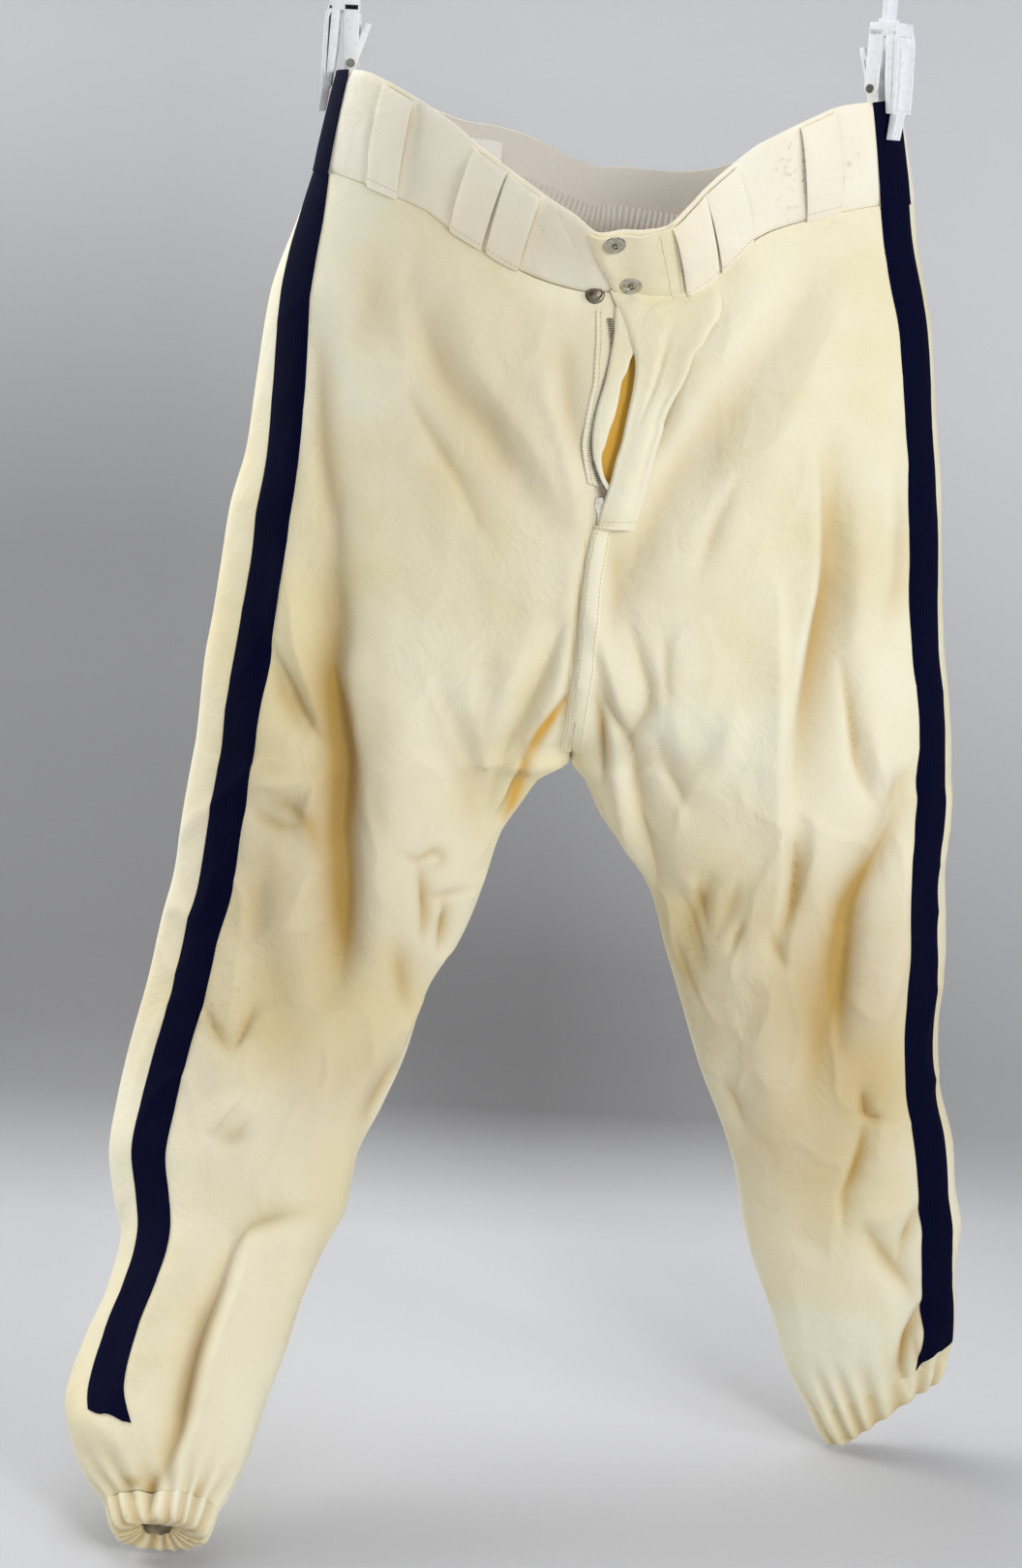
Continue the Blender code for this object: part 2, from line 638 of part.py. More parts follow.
def lathe(name, centre, axis, profile, finish, steps=20):
    """Turn a profile of (radius, height) pairs round an axis; closed ends."""
    axis = np.asarray(axis, float) / np.linalg.norm(axis)
    side = np.cross(axis, (0, 0, 1.0) if abs(axis[2]) < 0.9 else (1.0, 0, 0))
    side /= np.linalg.norm(side)
    other = np.cross(axis, side)
    verts, faces, rings = [], [], []
    for radius, height in profile:
        base = np.asarray(centre, float) + axis * height
        if radius < 1e-6:
            rings.append([len(verts)])
            verts.append(base)
            continue
        ring = []
        for k in range(steps):
            angle = 2 * math.pi * k / steps
            ring.append(len(verts))
            verts.append(base + radius * (math.cos(angle) * side + math.sin(angle) * other))
        rings.append(ring)
    for low, high in zip(rings, rings[1:]):
        for k in range(steps):
            n = (k + 1) % steps
            if len(low) == 1:
                faces.append((low[0], high[k], high[n]))
            elif len(high) == 1:
                faces.append((low[k], low[n], high[0]))
            else:
                faces.append((low[k], low[n], high[n], high[k]))
    return add_object(name, verts, faces, finish)


def build_snaps():
    """Two snap caps on the tab and the bare stud below them."""
    profile = ((0, 0), (7.5, 0), (7.7, 0.7), (7.0, 1.4), (4.0, 1.7), (0, 1.8))
    for name, x, share in (("snap_cap_upper", 7, 0.20), ("snap_cap_lower", 19, 0.78)):
        point, normal = band_frame(x, share)
        lathe(name, point + normal * (CLOTH + 2.2 + GAP), normal, profile, "nickel")
    point, normal = band_frame(-5, 0.86)
    profile = ((0, 0), (5.9, 0), (6.0, 1.4), (5.2, 3.2), (3.2, 4.4), (0, 4.9))
    lathe("snap_stud", point + normal * (GAP + 0.6), normal, profile, "nickel")


def front_strip(name, rows_left, rows_right, columns, lift, thickness, finish, folded=False):
    """A strip on the fronts between two edges given as (x, z) rows."""
    left = np.asarray(rows_left, float)
    right = np.asarray(rows_right, float)
    grid = np.zeros((len(left), columns, 3))
    for j, t in enumerate(np.linspace(0, 1, columns)):
        mix = left + (right - left) * t
        for i, (x, z) in enumerate(mix):
            side = "left" if x < 0 else "right"
            grid[i, j] = plain_front(side, x, z, folded)
            grid[i, j, 1] -= lift(i / (len(left) - 1), t)
    return shell(name, grid, thickness, finish, (0, -1, 0), pull=False)


def plain_front(side, x, z, folded=False):
    """Front point with a given x and z, with or without the folds."""
    h = float(z)
    for _ in range(15):
        out_x = float(leg_value(side, "out_x", h))
        in_x = float(leg_value(side, "in_x", h))
        wrap = math.radians(float(leg_value(side, "wrap", h)))
        radius = (out_x - in_x) / (1 - math.cos(wrap))
        turn = math.acos(max(-1.0, min(1.0, 1 - (out_x - abs(x)) / radius)))
        point = leg_point(side, turn, h, folded=False)
        h = max(-920.0, min(-50.0, h + (z - float(point[2]))))
    return leg_point(side, turn, h, folded=folded)


def build_fly():
    """Flap over the open fly, underlap, zip tapes, slider and centre strip."""
    left = ((9, -123), (15, -134), (21, -147), (24, -162), (22, -190), (16, -221), (5, -263))
    right = ((78, -123), (71, -137), (64, -150), (59, -162), (47, -190), (39, -225), (29, -263))

    def flap_lift(down, across):
        roll = 9.0 * math.sin(math.pi * across) ** 0.6
        return 6.5 + roll * math.sin(math.pi * min(1.0, 0.12 + down * 0.86)) ** 0.7

    front_strip("fly_flap", left, right, 7, flap_lift, CLOTH, "cream_knit")
    left = ((10, -129), (8, -159), (3, -184), (0.8, -203), (1, -219), (5, -232), (11, -242))
    right = ((18, -129), (22, -150), (17, -176), (13, -194), (9, -210), (9, -226), (14, -240))
    front_strip("fly_underlap", left, right, 3, lambda down, across: 3.0, 1.2, "cream_knit")
    left = tuple((-1.5, z) for z in (-128, -165, -200, -235, -262))
    right = ((7.6, -128), (7, -165), (0.9, -190), (0.9, -235), (6, -262))
    front_strip("zip_tape_left", left, right, 2, lambda down, across: -2.4, 0.6, "grey_elastic")
    left = ((11, -136), (11, -165), (4.5, -200), (4.5, -235), (9, -254))
    right = ((19, -136), (19, -165), (15, -200), (15, -235), (17, -254))
    front_strip("zip_tape_right", left, right, 2, lambda down, across: -4.5, 0.6, "grey_elastic")
    left = ((-4, -267), (-5, -285), (-5, -303), (-5, -320), (-5, -338), (-5, -352))
    right = ((13, -267), (12, -285), (12, -303), (12, -320), (12, -338), (12, -352))
    front_strip("centre_strip", left, right, 5, lambda down, across: 2.6 + 2.6 * (1 - down) ** 2,
                0.9, "cream_knit")


def build_zip_slider():
    """Slider at the foot of the open zip with its pull lying down."""
    x, z = 9.0, -252.0
    base = plain_front("right", x, z)
    y = float(base[1]) + 2.2
    outline = ((-4, 5), (4, 5), (4.5, -1), (2.2, -6), (2.4, -11), (-2.4, -11), (-2.2, -6), (-4.5, -1))
    extrude_outline("zip_slider", outline, (x, y, z), (1, 0, 0), (0, 0, 1), 2.6, "nickel")


def extrude_outline(name, outline, origin, across, up, thickness, finish, smooth=False):
    """Prism of an outline in the plane of two axes, centred on its origin."""
    origin, across, up = (np.asarray(v, float) for v in (origin, across, up))
    normal = np.cross(across, up)
    flat = [origin + across * u + up * v for u, v in outline]
    half = normal * thickness / 2
    verts = [p - half for p in flat] + [p + half for p in flat]
    n = len(outline)
    faces = [tuple(range(n)), tuple(range(2 * n - 1, n - 1, -1))]
    faces += [(i, (i + 1) % n, n + (i + 1) % n, n + i) for i in range(n)]
    return add_object(name, verts, faces, finish, smooth=smooth)


def build_hem(side):
    """Elastic hem, gathered, with an open end."""
    rows = np.linspace(PANEL_END[side] - 1.6, HEM_END[side], 3)
    theta = np.linspace(-math.pi, math.pi, 32, endpoint=False)
    grid = leg_point(side, theta[None, :], rows[:, None], folded=False)
    middle = grid.mean(axis=1, keepdims=True)
    wave = 0.97 + 0.03 * np.cos(theta * 16)[None, :, None]
    grid = middle + (grid - middle) * wave
    shell(f"hem_{side}", grid, 2.0, "cream_knit", None, ring=True)


def build_label():
    """Blank label sewn inside the back waistband."""
    angles = [math.acos(x / RIM_SIDE_X["left"]) for x in (91, 80.5, 70)]
    theta = np.broadcast_to(np.array(angles)[None, :], (3, 3))
    share = np.broadcast_to(np.array((0.20, 0.31, 0.42))[:, None], (3, 3))
    grid = band_point("left", "back", theta, share)
    shell("label_blank", grid, 0.4, "white_label", (0, 1, 0),
          lift=-(CLOTH + GAP + 1.2 + GAP + 0.6), pull=False)


# ---------------------------------------------------------------- hanger
CLIP_WIDTH = 22.0
FOOT_WIDTH = 11.0       # the jaw's narrower lower end
CHEEK = 2.4
GRIP = 2.9              # from the cloth's outer face to the jaw, past the braid
CLIP_PIVOT = (-7.8, 18.0)
PRESS_GAP = {"left": 1.2, "right": 2.0}
# Angle of each clip round the rim from the side, and its turn to the viewer.
CLIP_PLACE = {"left": (0.0, 0.0), "right": (20.0, 37.0)}
PIVOT_DROP = 5.0      # pivot above the rim
BAR_Z = 90.0
BAR_RADIUS = 4.0
HOOK_WIRE = 2.0
HOOK_RADIUS = 20.0
CLIP_LEAN = {"left": 0.21, "right": 0.01}     # slope of the waistband at each clip


def boolean(target, tool, operation):
    """Apply an exact Boolean and drop the tool."""
    change = target.modifiers.new("cut", "BOOLEAN")
    change.operation = operation
    change.solver = "EXACT"
    change.object = tool
    depsgraph = bpy.context.evaluated_depsgraph_get()
    mesh = bpy.data.meshes.new_from_object(target.evaluated_get(depsgraph))
    target.modifiers.remove(change)
    old = target.data
    target.data = mesh
    bpy.data.meshes.remove(old)
    bpy.data.objects.remove(tool, do_unlink=True)
    return target


def tube(name, path, radius, finish, sides=12, across=(0, 1, 0)):
    """Round wire along a path square to one direction, with flat ends."""
    path = np.asarray(path, float)
    tangent = np.gradient(path, axis=0)
    tangent /= np.linalg.norm(tangent, axis=1, keepdims=True)
    verts, faces = [], []
    for p, t in zip(path, tangent):
        side = np.array(across, float)
        other = np.cross(t, side)
        for k in range(sides):
            angle = 2 * math.pi * k / sides
            verts.append(p + radius * (math.cos(angle) * side + math.sin(angle) * other))
    for i in range(len(path) - 1):
        for k in range(sides):
            n = (k + 1) % sides
            faces.append((i * sides + k, i * sides + n, (i + 1) * sides + n, (i + 1) * sides + k))
    faces.append(tuple(range(sides)))
    faces.append(tuple(range(len(verts) - 1, len(verts) - sides - 1, -1)))
    return add_object(name, verts, faces, finish)


def clip_axes(side):
    """Where a clip bites the rim, and its outward and lengthwise directions."""
    at, turn = (math.radians(v) for v in CLIP_PLACE[side])
    sign = SIDE_SIGN[side]
    x = RIM_SIDE_X[side] * math.cos(at)
    y = -RIM_DEPTH["front"] * math.sin(at) ** SECTION_POWER
    out = np.array((sign * math.cos(turn), -math.sin(turn), 0.0))
    return np.array((sign * x, y, 0.0)), out, np.cross((0.0, 0.0, 1.0), out)


def build_clip(side):
    """Spring clip: outer half with cheeks and strap, inner half with lever, pin."""
    origin, out, along = clip_axes(side)
    up = np.array((0.0, 0.0, 1.0))

    def prism(name, outline, width):
        return extrude_outline(name, outline, origin, out, up, width, "white_plastic")

    def bore(name, middle, axis, radius, length):
        start = origin + out * middle[0] + up * middle[1] - axis * length / 2
        return lathe(name, start, axis, ((0, 0), (radius, 0), (radius, length), (0, length)),
                     "white_plastic", steps=16)

    tip = -13.0
    low = CLIP_LEAN[side] * (RIM_Z - tip)
    half = prism(f"clip_outer_{side}", (
        (GRIP + 1.6, 3), (GRIP + 7.6, 3), (GRIP + 8, 12), (GRIP + 7.2, 46), (GRIP + 5, 53),
        (GRIP + 4.2, 59), (-12, 59), (-12.6, 19), (-11, 14.5), (-7.8, 13), (-4.6, 14.5),
        (-3, 19), (-2, 49), (0.6, 49), (GRIP - 1, 24)), CLIP_WIDTH)
    foot = prism("foot", ((GRIP + 2, 5), (GRIP + low, tip), (GRIP + low + 4.4, tip),
                          (GRIP + 7.2, 5)), FOOT_WIDTH)
    strap = prism("strap", ((-2, 57), (-2, BAR_Z + 8), (-7, BAR_Z + 8), (-7, 57)), 13.0)
    boolean(half, foot, "UNION")
    boolean(half, strap, "UNION")
    room = prism("room", ((-1.0, 6), (-1.0, 48.5), (-16, 48.5), (-16, 6)),
                 CLIP_WIDTH - 2 * CHEEK)
    boolean(half, room, "DIFFERENCE")
    boolean(half, bore("bar_hole", (-4.5, BAR_Z), out, BAR_RADIUS + GAP, 30), "DIFFERENCE")
    boolean(half, bore("pin_hole", CLIP_PIVOT, along, 1.9, 60), "DIFFERENCE")
    press = -(CLOTH + GAP + PRESS_GAP[side])
    half = prism(f"clip_inner_{side}", (
        (press, RIM_Z - 1), (press + low, tip), (press + low - 3.5, tip), (press - 7.5, 10),
        (press - 9.5, 20), (-20, 43), (-16, 44), (press - 5, 23.5), (press - 2, 20)),
        CLIP_WIDTH - 2 * CHEEK - 1.0)
    boolean(half, bore("pin_hole", CLIP_PIVOT, along, 1.9, 60), "DIFFERENCE")
    reach = CLIP_WIDTH / 2 + 0.2
    lathe(f"clip_pin_{side}", origin + out * CLIP_PIVOT[0] + up * CLIP_PIVOT[1]
          - along * (reach + 0.8), along,
          ((0, 0), (2.8, 0), (2.8, 0.7), (1.6, 0.8), (1.6, 2 * reach + 0.8),
           (2.8, 2 * reach + 0.9), (2.8, 2 * reach + 1.6), (0, 2 * reach + 1.6)),
          "nickel", steps=16)


def build_hanger():
    """Plain bar, turned to each clip at its end, with a wire hook at its middle."""
    ends = {}
    for side in ("left", "right"):
        origin, out, _ = clip_axes(side)
        strap = origin - out * 4.5
        ends[side] = [strap + out * 16, strap]
        if abs(out[1]) > 0.01:
            back = strap[1] / out[1]
            ends[side] += [strap - out * (back - 12), strap - out * back - (12, 0, 0)]
    path = ends["left"] + [np.zeros(3)] + ends["right"][::-1]
    path = [np.array((p[0], p[1], BAR_Z)) for p in path]
    bar = tube("hanger", path, BAR_RADIUS, "chrome_wire", sides=14, across=(0, 0, 1))
    centre = HANG - HOOK_RADIUS + HOOK_WIRE
    bend = np.radians(np.linspace(-90, 200, 15))
    start = np.array((0, 0, centre))
    path = [(0, 0, BAR_Z)]
    path += [tuple(start + HOOK_RADIUS * np.array((math.cos(a), 0, math.sin(a)))) for a in bend]
    hook = tube("hook", path, HOOK_WIRE, "chrome_wire", sides=8)
    boolean(bar, hook, "UNION")


def main():
    """Build every piece of the pants and what holds them."""
    clear_scene()
    for side in ("left", "right"):
        build_panel(side, "front", 15)
        build_panel(side, "back", 12)
        build_hem(side)
        build_band_braid(side)
        build_clip(side)
    build_leg_braid("left", -870.0)
    build_leg_braid("right", -846.0)
    build_waistband()
    for name, rim_x, seam_x, width in LOOPS:
        build_loop(name, rim_x, seam_x, width, "front")
    for name, rim_x, seam_x, width in BACK_LOOPS:
        build_loop(name, rim_x, seam_x, width, "back")
    build_snap_tab()
    build_snaps()
    build_fly()
    build_zip_slider()
    build_label()
    build_hanger()


main()
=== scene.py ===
"""Dressed scene of the baseball pants: cream double knit on a clip hanger.

Sizes are in millimetres, measured from the waist line at the side seams; X runs
to the viewer's right, Y away from the viewer and Z up.  Meshes are made in
metres from the point that the hook hangs from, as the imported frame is.
"""

import json
import logging
import math
from dataclasses import dataclass, field
from enum import Enum
from typing import Callable, ClassVar, Optional, Sequence

import bmesh
import bpy
import numpy as np
from mathutils import Matrix, Vector, noise
from mathutils.bvhtree import BVHTree

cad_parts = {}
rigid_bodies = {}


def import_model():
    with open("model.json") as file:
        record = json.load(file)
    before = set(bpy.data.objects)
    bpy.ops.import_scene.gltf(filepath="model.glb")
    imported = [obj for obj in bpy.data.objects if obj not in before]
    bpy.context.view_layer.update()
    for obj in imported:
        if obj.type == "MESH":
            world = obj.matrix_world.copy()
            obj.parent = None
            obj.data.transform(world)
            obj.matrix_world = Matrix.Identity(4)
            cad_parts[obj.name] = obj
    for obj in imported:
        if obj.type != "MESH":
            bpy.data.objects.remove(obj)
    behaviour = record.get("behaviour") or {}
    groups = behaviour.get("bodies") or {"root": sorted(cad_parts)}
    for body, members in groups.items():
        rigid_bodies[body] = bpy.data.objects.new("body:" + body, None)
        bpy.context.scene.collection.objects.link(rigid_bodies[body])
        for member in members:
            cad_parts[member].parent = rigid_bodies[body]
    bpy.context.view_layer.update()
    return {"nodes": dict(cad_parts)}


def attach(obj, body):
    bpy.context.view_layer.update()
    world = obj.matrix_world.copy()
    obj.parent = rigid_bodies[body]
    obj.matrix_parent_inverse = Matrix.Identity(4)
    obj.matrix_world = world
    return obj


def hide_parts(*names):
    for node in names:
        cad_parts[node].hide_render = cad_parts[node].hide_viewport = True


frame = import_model()

LOG = logging.getLogger("baseball_pants")
MM = 0.001
HANG = 150.0            # waist line to the hook's hanging point
WAIST_SEAM = -50.0      # height of the waist seam at the side
CLOTH = 1.3             # one layer of double knit
BRAID_WIDTH = 25.4
BRAID_THICKNESS = 0.9
BRAID_COLUMNS = 11
BRAID_MARGIN = 15.0     # half width of the grid that gives the braid's normals
STITCH_LIFT = 0.3       # how far stitches stand off the cloth
SECTION_POWER = 0.85    # fullness of a leg's section; 1 is an ellipse
SAG_POWER = 1.3
SAG_ROUND = 0.01        # rounds the lowest point at a centre seam
TINY = 1e-9             # keeps a length above 0 before it divides
LEG_MIDDLE = 120.0      # how far from the centre the middle of a leg is taken to be
CURVE_STEPS = 12        # points on a curve between two given ones
TO_VIEWER = (0, -1, 0)
FROM_VIEWER = (0, 1, 0)
Point = tuple[float, float]
Path = tuple[Point, ...]


class Side(Enum):
    """The viewer's left or right half of the pants."""

    LEFT = -1.0
    RIGHT = 1.0

    @property
    def word(self) -> str:
        """The side's name as the solids spell it."""
        return self.name.lower()


class Face(Enum):
    """The front or the back of the pants."""

    FRONT = -1.0
    BACK = 1.0

    @property
    def word(self) -> str:
        """The face's name as the solids spell it."""
        return self.name.lower()


class Bead(Enum):
    """The small shape that Geometry Nodes sets along a path."""

    STITCH = "stitch"
    TOOTH = "tooth"
    RIB = "rib"


RIM_SIDE_X = {Side.LEFT: 176.0, Side.RIGHT: 188.0}
RIM_DEPTH = {Face.FRONT: 104.0, Face.BACK: 90.0}


# ------------------------------------------------------------------ forms
LEG_COLUMNS = ("h", "out_x", "out_y", "in_x", "sag_front", "sag_back", "wrap",
               "front", "back", "seam", "tilt")
# h: height at the outer edge; out_x, in_x: outer and inner edge; out_y: the
# tube's middle; sag: how far the inner edge hangs below h; wrap: degrees round
# the half section; front, back: depth each way; seam: side seam in from the
# outer edge; tilt: lean of the section where the leg lies forward.
LEFT_LEG = (
    (-50, 189, 0, 0, 68, 42, 90, 62, 55, 3, 0),
    (-80, 199, 0, 0, 58, 36, 90, 67, 62, 9, 0),
    (-132, 216, 0, 0, 46, 29, 90, 72, 70, 19, 0),
    (-187, 223, 0, 0, 36, 21, 90, 74, 76, 24, 0),
    (-232, 228, 0, 0, 27, 15, 90, 74, 80, 27, 0),
    (-273, 238, 0, 0, 19, 10, 90, 73, 82, 32, 0),
    (-313, 243, 0, 0, 12, 6, 90, 71, 82, 34, 0),
    (-345, 247, 0, 0, 7, 3, 97, 69, 82, 34, 0),
    (-379, 252, 0, 0, 3, 1, 117, 66, 80, 34, 0),
    (-408, 254, 0, 0, 0, 0, 143, 63, 78, 33, 0),
    (-433, 256, 0, 0, 0, 0, 180, 60, 75, 33, 0),
    (-446, 258, 0, 19, 0, 0, 180, 59, 72, 33, 0),
    (-466, 261, 0, 32, 0, 0, 180, 58, 69, 33, 0),
    (-488, 264, 0, 45, 0, 0, 180, 57, 66, 33, 0),
    (-525, 268, 0, 55, 0, 0, 180, 55, 61, 33, 0),
    (-560, 276, 0, 67, 0, 0, 180, 53, 57, 33, 0),
    (-600, 283, -6, 90, 0, 0, 180, 51, 52, 33, 0),
    (-646, 293, -18, 103, 0, 0, 180, 49, 49, 32, 4),
    (-680, 299, -29, 117, 0, 0, 180, 47, 46, 32, 9),
    (-712, 302, -45, 132, 0, 0, 180, 44, 43, 31, 15),
    (-744, 296, -61, 137, 0, 0, 180, 42, 40, 30, 22),
    (-766, 288, -78, 149, 0, 0, 180, 40, 37, 25, 27),
    (-795, 293, -102, 162, 0, 0, 180, 38, 34, 25, 32),
    (-823, 304, -125, 170, 0, 0, 180, 36, 31, 27, 37),
    (-850, 311, -154, 180, 0, 0, 180, 33, 28, 29, 42),
    (-872, 303, -178, 187, 0, 0, 180, 30, 24, 30, 48),
    (-888, 290, -195, 195, 0, 0, 180, 26, 20, 28, 54),
    (-899, 276, -208, 203, 0, 0, 180, 22, 17, 24, 60),
    (-911, 268, -222, 208, 0, 0, 180, 21, 16, 22, 62),
)
RIGHT_LEG = (
    (-50, 203, 0, 0, 68, 42, 90, 62, 55, 15, 0),
    (-80, 208, 0, 0, 58, 36, 90, 67, 62, 15, 0),
    (-132, 221, 0, 0, 46, 29, 90, 72, 70, 15, 0),
    (-187, 229, 0, 0, 36, 21, 90, 74, 76, 15, 0),
    (-232, 236, 0, 0, 27, 15, 90, 74, 80, 15, 0),
    (-273, 240, 0, 0, 19, 10, 90, 73, 82, 14, 0),
    (-313, 244, 0, 0, 12, 6, 90, 71, 82, 15, 0),
    (-345, 248, 0, 0, 7, 3, 97, 69, 82, 15, 0),
    (-379, 254, 0, 0, 3, 1, 117, 66, 80, 15, 0),
    (-408, 258, 0, 0, 0, 0, 143, 63, 78, 16, 0),
    (-433, 260, 0, 0, 0, 0, 180, 60, 75, 17, 0),
    (-446, 262, 0, 10, 0, 0, 180, 58, 72, 18, 0),
    (-466, 262, 0, 20, 0, 0, 180, 55, 69, 18, 0),
    (-488, 261, 0, 37, 0, 0, 180, 52, 66, 18, 0),
    (-525, 264, 0, 61, 0, 0, 180, 48, 62, 19, 0),
    (-560, 267, 0, 72, 0, 0, 180, 46, 58, 19, 0),
    (-600, 266, 0, 86, 0, 0, 180, 44, 54, 17, 0),
    (-646, 270, 0, 102, 0, 0, 180, 42, 50, 16, 0),
    (-694, 284, 0, 123, 0, 0, 180, 40, 46, 19, 0),
    (-724, 288, 0, 133, 0, 0, 180, 38, 43, 18, 0),
    (-756, 295, 0, 140, 0, 0, 180, 36, 40, 19, 0),
    (-787, 294, 0, 150, 2, 2, 180, 34, 36, 15, 0),
    (-813, 296, 0, 165, 12, 12, 180, 31, 32, 13, 0),
    (-836, 297, 0, 178, 28, 28, 180, 27, 28, 13, 0),
    (-855, 294, 0, 197, 45, 45, 180, 21, 22, 13, 0),
    (-872, 290, 0, 214, 55, 55, 180, 18, 18, 13, 0),
)
# How far the front rim, the front's waist seam, and both of them at the back
# lie above an even curve, as (x, height) rows.
RIM_TRIM = ((-176, 0), (-150, 6), (-100, 5), (-80, 2), (-40, 2), (-20, 3), (-5, -1),
            (8, 0), (24, -6), (40, -11), (52, -6), (63, 0), (79, 5), (95, 9), (137, 9),
            (165, 4), (188, 0))
SEAM_TRIM = ((-189, 0), (-117, 0), (-99, -4), (-51, -7), (-9, -1), (13, 1), (35, -8),
             (56, -17), (78, -9), (94, 2), (111, 5), (151, 3), (190, 0))
BACK_TRIM = ((-189, 0), (-150, -3), (-103, -5), (-71, 1), (-52, 3), (-11, 0), (10, -1),
             (39, -10), (57, -16), (78, -19), (100, -18), (125, -13), (150, -7), (172, -2),
             (190, 0))
FRONT_TRIM_REACH = (-170, WAIST_SEAM)   # heights over which the trim fades in
BACK_TRIM_REACH = (-210, WAIST_SEAM)


def smoothstep(low: float, high: float, value: np.ndarray) -> np.ndarray:
    """0 at low, 1 at high, eased between them."""
    t = np.clip((np.asarray(value, float) - low) / (high - low), 0.0, 1.0)
    return t * t * (3 - 2 * t)


def smooth_lookup(keys: np.ndarray, values: np.ndarray, at: np.ndarray) -> np.ndarray:
    """Cubic through a short table, with no overshoot between its rows.

    Args:
        keys: rising keys of the table.
        values: one value for each key.
        at: where to read it.

    Returns:
        The values there.
    """
    keys = np.asarray(keys, dtype=float)
    values = np.asarray(values, dtype=float)
    at = np.clip(np.asarray(at, dtype=float), keys[0], keys[-1])
    steps = np.diff(keys)
    rises = np.diff(values) / steps
    slopes = np.zeros(len(keys))
    same = rises[:-1] * rises[1:] > 0
    slopes[1:-1][same] = (2 * rises[:-1] * rises[1:] / (rises[:-1] + rises[1:] + 1e-12))[same]
    slopes[0], slopes[-1] = rises[0], rises[-1]
    low = np.clip(np.searchsorted(keys, at) - 1, 0, len(keys) - 2)
    span = steps[low]
    t = (at - keys[low]) / span
    return ((2 * t**3 - 3 * t**2 + 1) * values[low] + (t**3 - 2 * t**2 + t) * span * slopes[low]
            + (3 * t**2 - 2 * t**3) * values[low + 1] + (t**3 - t**2) * span * slopes[low + 1])


def hang_share(across: np.ndarray) -> np.ndarray:
    """Share of the full sag, 0 at the outer edge and 1 at the inner one."""
    down = 1 - np.sqrt((1 - across) ** 2 + SAG_ROUND)
    return np.clip(down / (1 - math.sqrt(SAG_ROUND)), 0, 1) ** SAG_POWER


def smooth_path(points: Path, count: int) -> np.ndarray:
    """Points evenly along a Catmull-Rom curve through a few given ones.

    Args:
        points: the given points.
        count: how many to return.

    Returns:
        An array of count points.
    """
    given = np.asarray(points, float)
    if len(given) == 2:
        return given[0] + (given[1] - given[0]) * np.linspace(0, 1, count)[:, None]
    wide = np.concatenate([2 * given[:1] - given[1:2], given, 2 * given[-1:] - given[-2:-1]])
    made = []
    for i in range(len(given) - 1):
        a, b, c, d = wide[i:i + 4]
        t = np.linspace(0, 1, CURVE_STEPS, endpoint=False)[:, None]
        made.append(0.5 * (2 * b + (c - a) * t + (2 * a - 5 * b + 4 * c - d) * t**2
                           + (3 * b - a - 3 * c + d) * t**3))
    line = np.concatenate(made + [given[-1:]])
    run = np.concatenate([[0], np.cumsum(np.linalg.norm(np.diff(line, axis=0), axis=1))])
    at = np.linspace(0, run[-1], count)
    return np.stack([np.interp(at, run, line[:, k]) for k in range(line.shape[1])], axis=1)


@dataclass(frozen=True)
class Fold:
    """One crease of the cloth, seen from the front or the back.

    A positive depth is a trough.  near and far are its widths to the left and
    right of its line, which runs down through path; power is 2 for a soft
    fold and nearer 1 for a sharp one; the last number is how far the crease is
    painted darker and yellower, partly age's yellowing and partly painted shade.
    """

    name: str
    depth: float
    near: float
    far: float
    path: Path
    power: float = 1.8
    yellowing_and_shade: float = 0.3
    reach: ClassVar[float] = 2.6        # how many widths away it still counts
    end_share: ClassVar[float] = 0.15   # how much of its depth is left at its ends
    end_power: ClassVar[float] = 0.75
    side_blend: ClassVar[float] = 1.5   # millimetres over which its two widths meet

    def push(self, x: np.ndarray, z: np.ndarray) -> np.ndarray:
        """Share of the fold's depth at each point of a grid.

        Args:
            x: across, one value for each point.
            z: up, likewise.

        Returns:
            0 away from the fold and up to 1 along its line.
        """
        out = np.zeros(x.shape)
        line = smooth_path(self.path, max(6, 5 * len(self.path)))
        reach = self.reach * max(self.near, self.far)
        low, high = line.min(axis=0) - reach, line.max(axis=0) + reach
        inside = (x > low[0]) & (x < high[0]) & (z > low[1]) & (z < high[1])
        if not inside.any():
            return out
        px, pz = x[inside], z[inside]
        best = np.full(px.shape, np.inf)
        off = np.zeros(px.shape)
        along = np.zeros(px.shape)
        run = 0.0
        for (x0, z0), (x1, z1) in zip(line, line[1:]):
            length = math.hypot(x1 - x0, z1 - z0)
            dx, dz = (x1 - x0) / length, (z1 - z0) / length
            part = np.clip((px - x0) * dx + (pz - z0) * dz, 0, length)
            away = np.hypot(px - x0 - part * dx, pz - z0 - part * dz)
            closer = away < best
            best = np.where(closer, away, best)
            off = np.where(closer, px - x0 - part * dx, off)
            along = np.where(closer, run + part, along)
            run += length
        lean = 0.5 + 0.5 * np.clip(off / (best + self.side_blend), -1, 1)
        width = self.near + (self.far - self.near) * lean
        share = np.clip(along / run * 0.9 + 0.05, 0, 1)
        taper = (self.end_share
                 + (1 - self.end_share) * np.sin(math.pi * share) ** self.end_power)
        out[inside] = taper * np.exp(-(best / width) ** self.power)
        return out


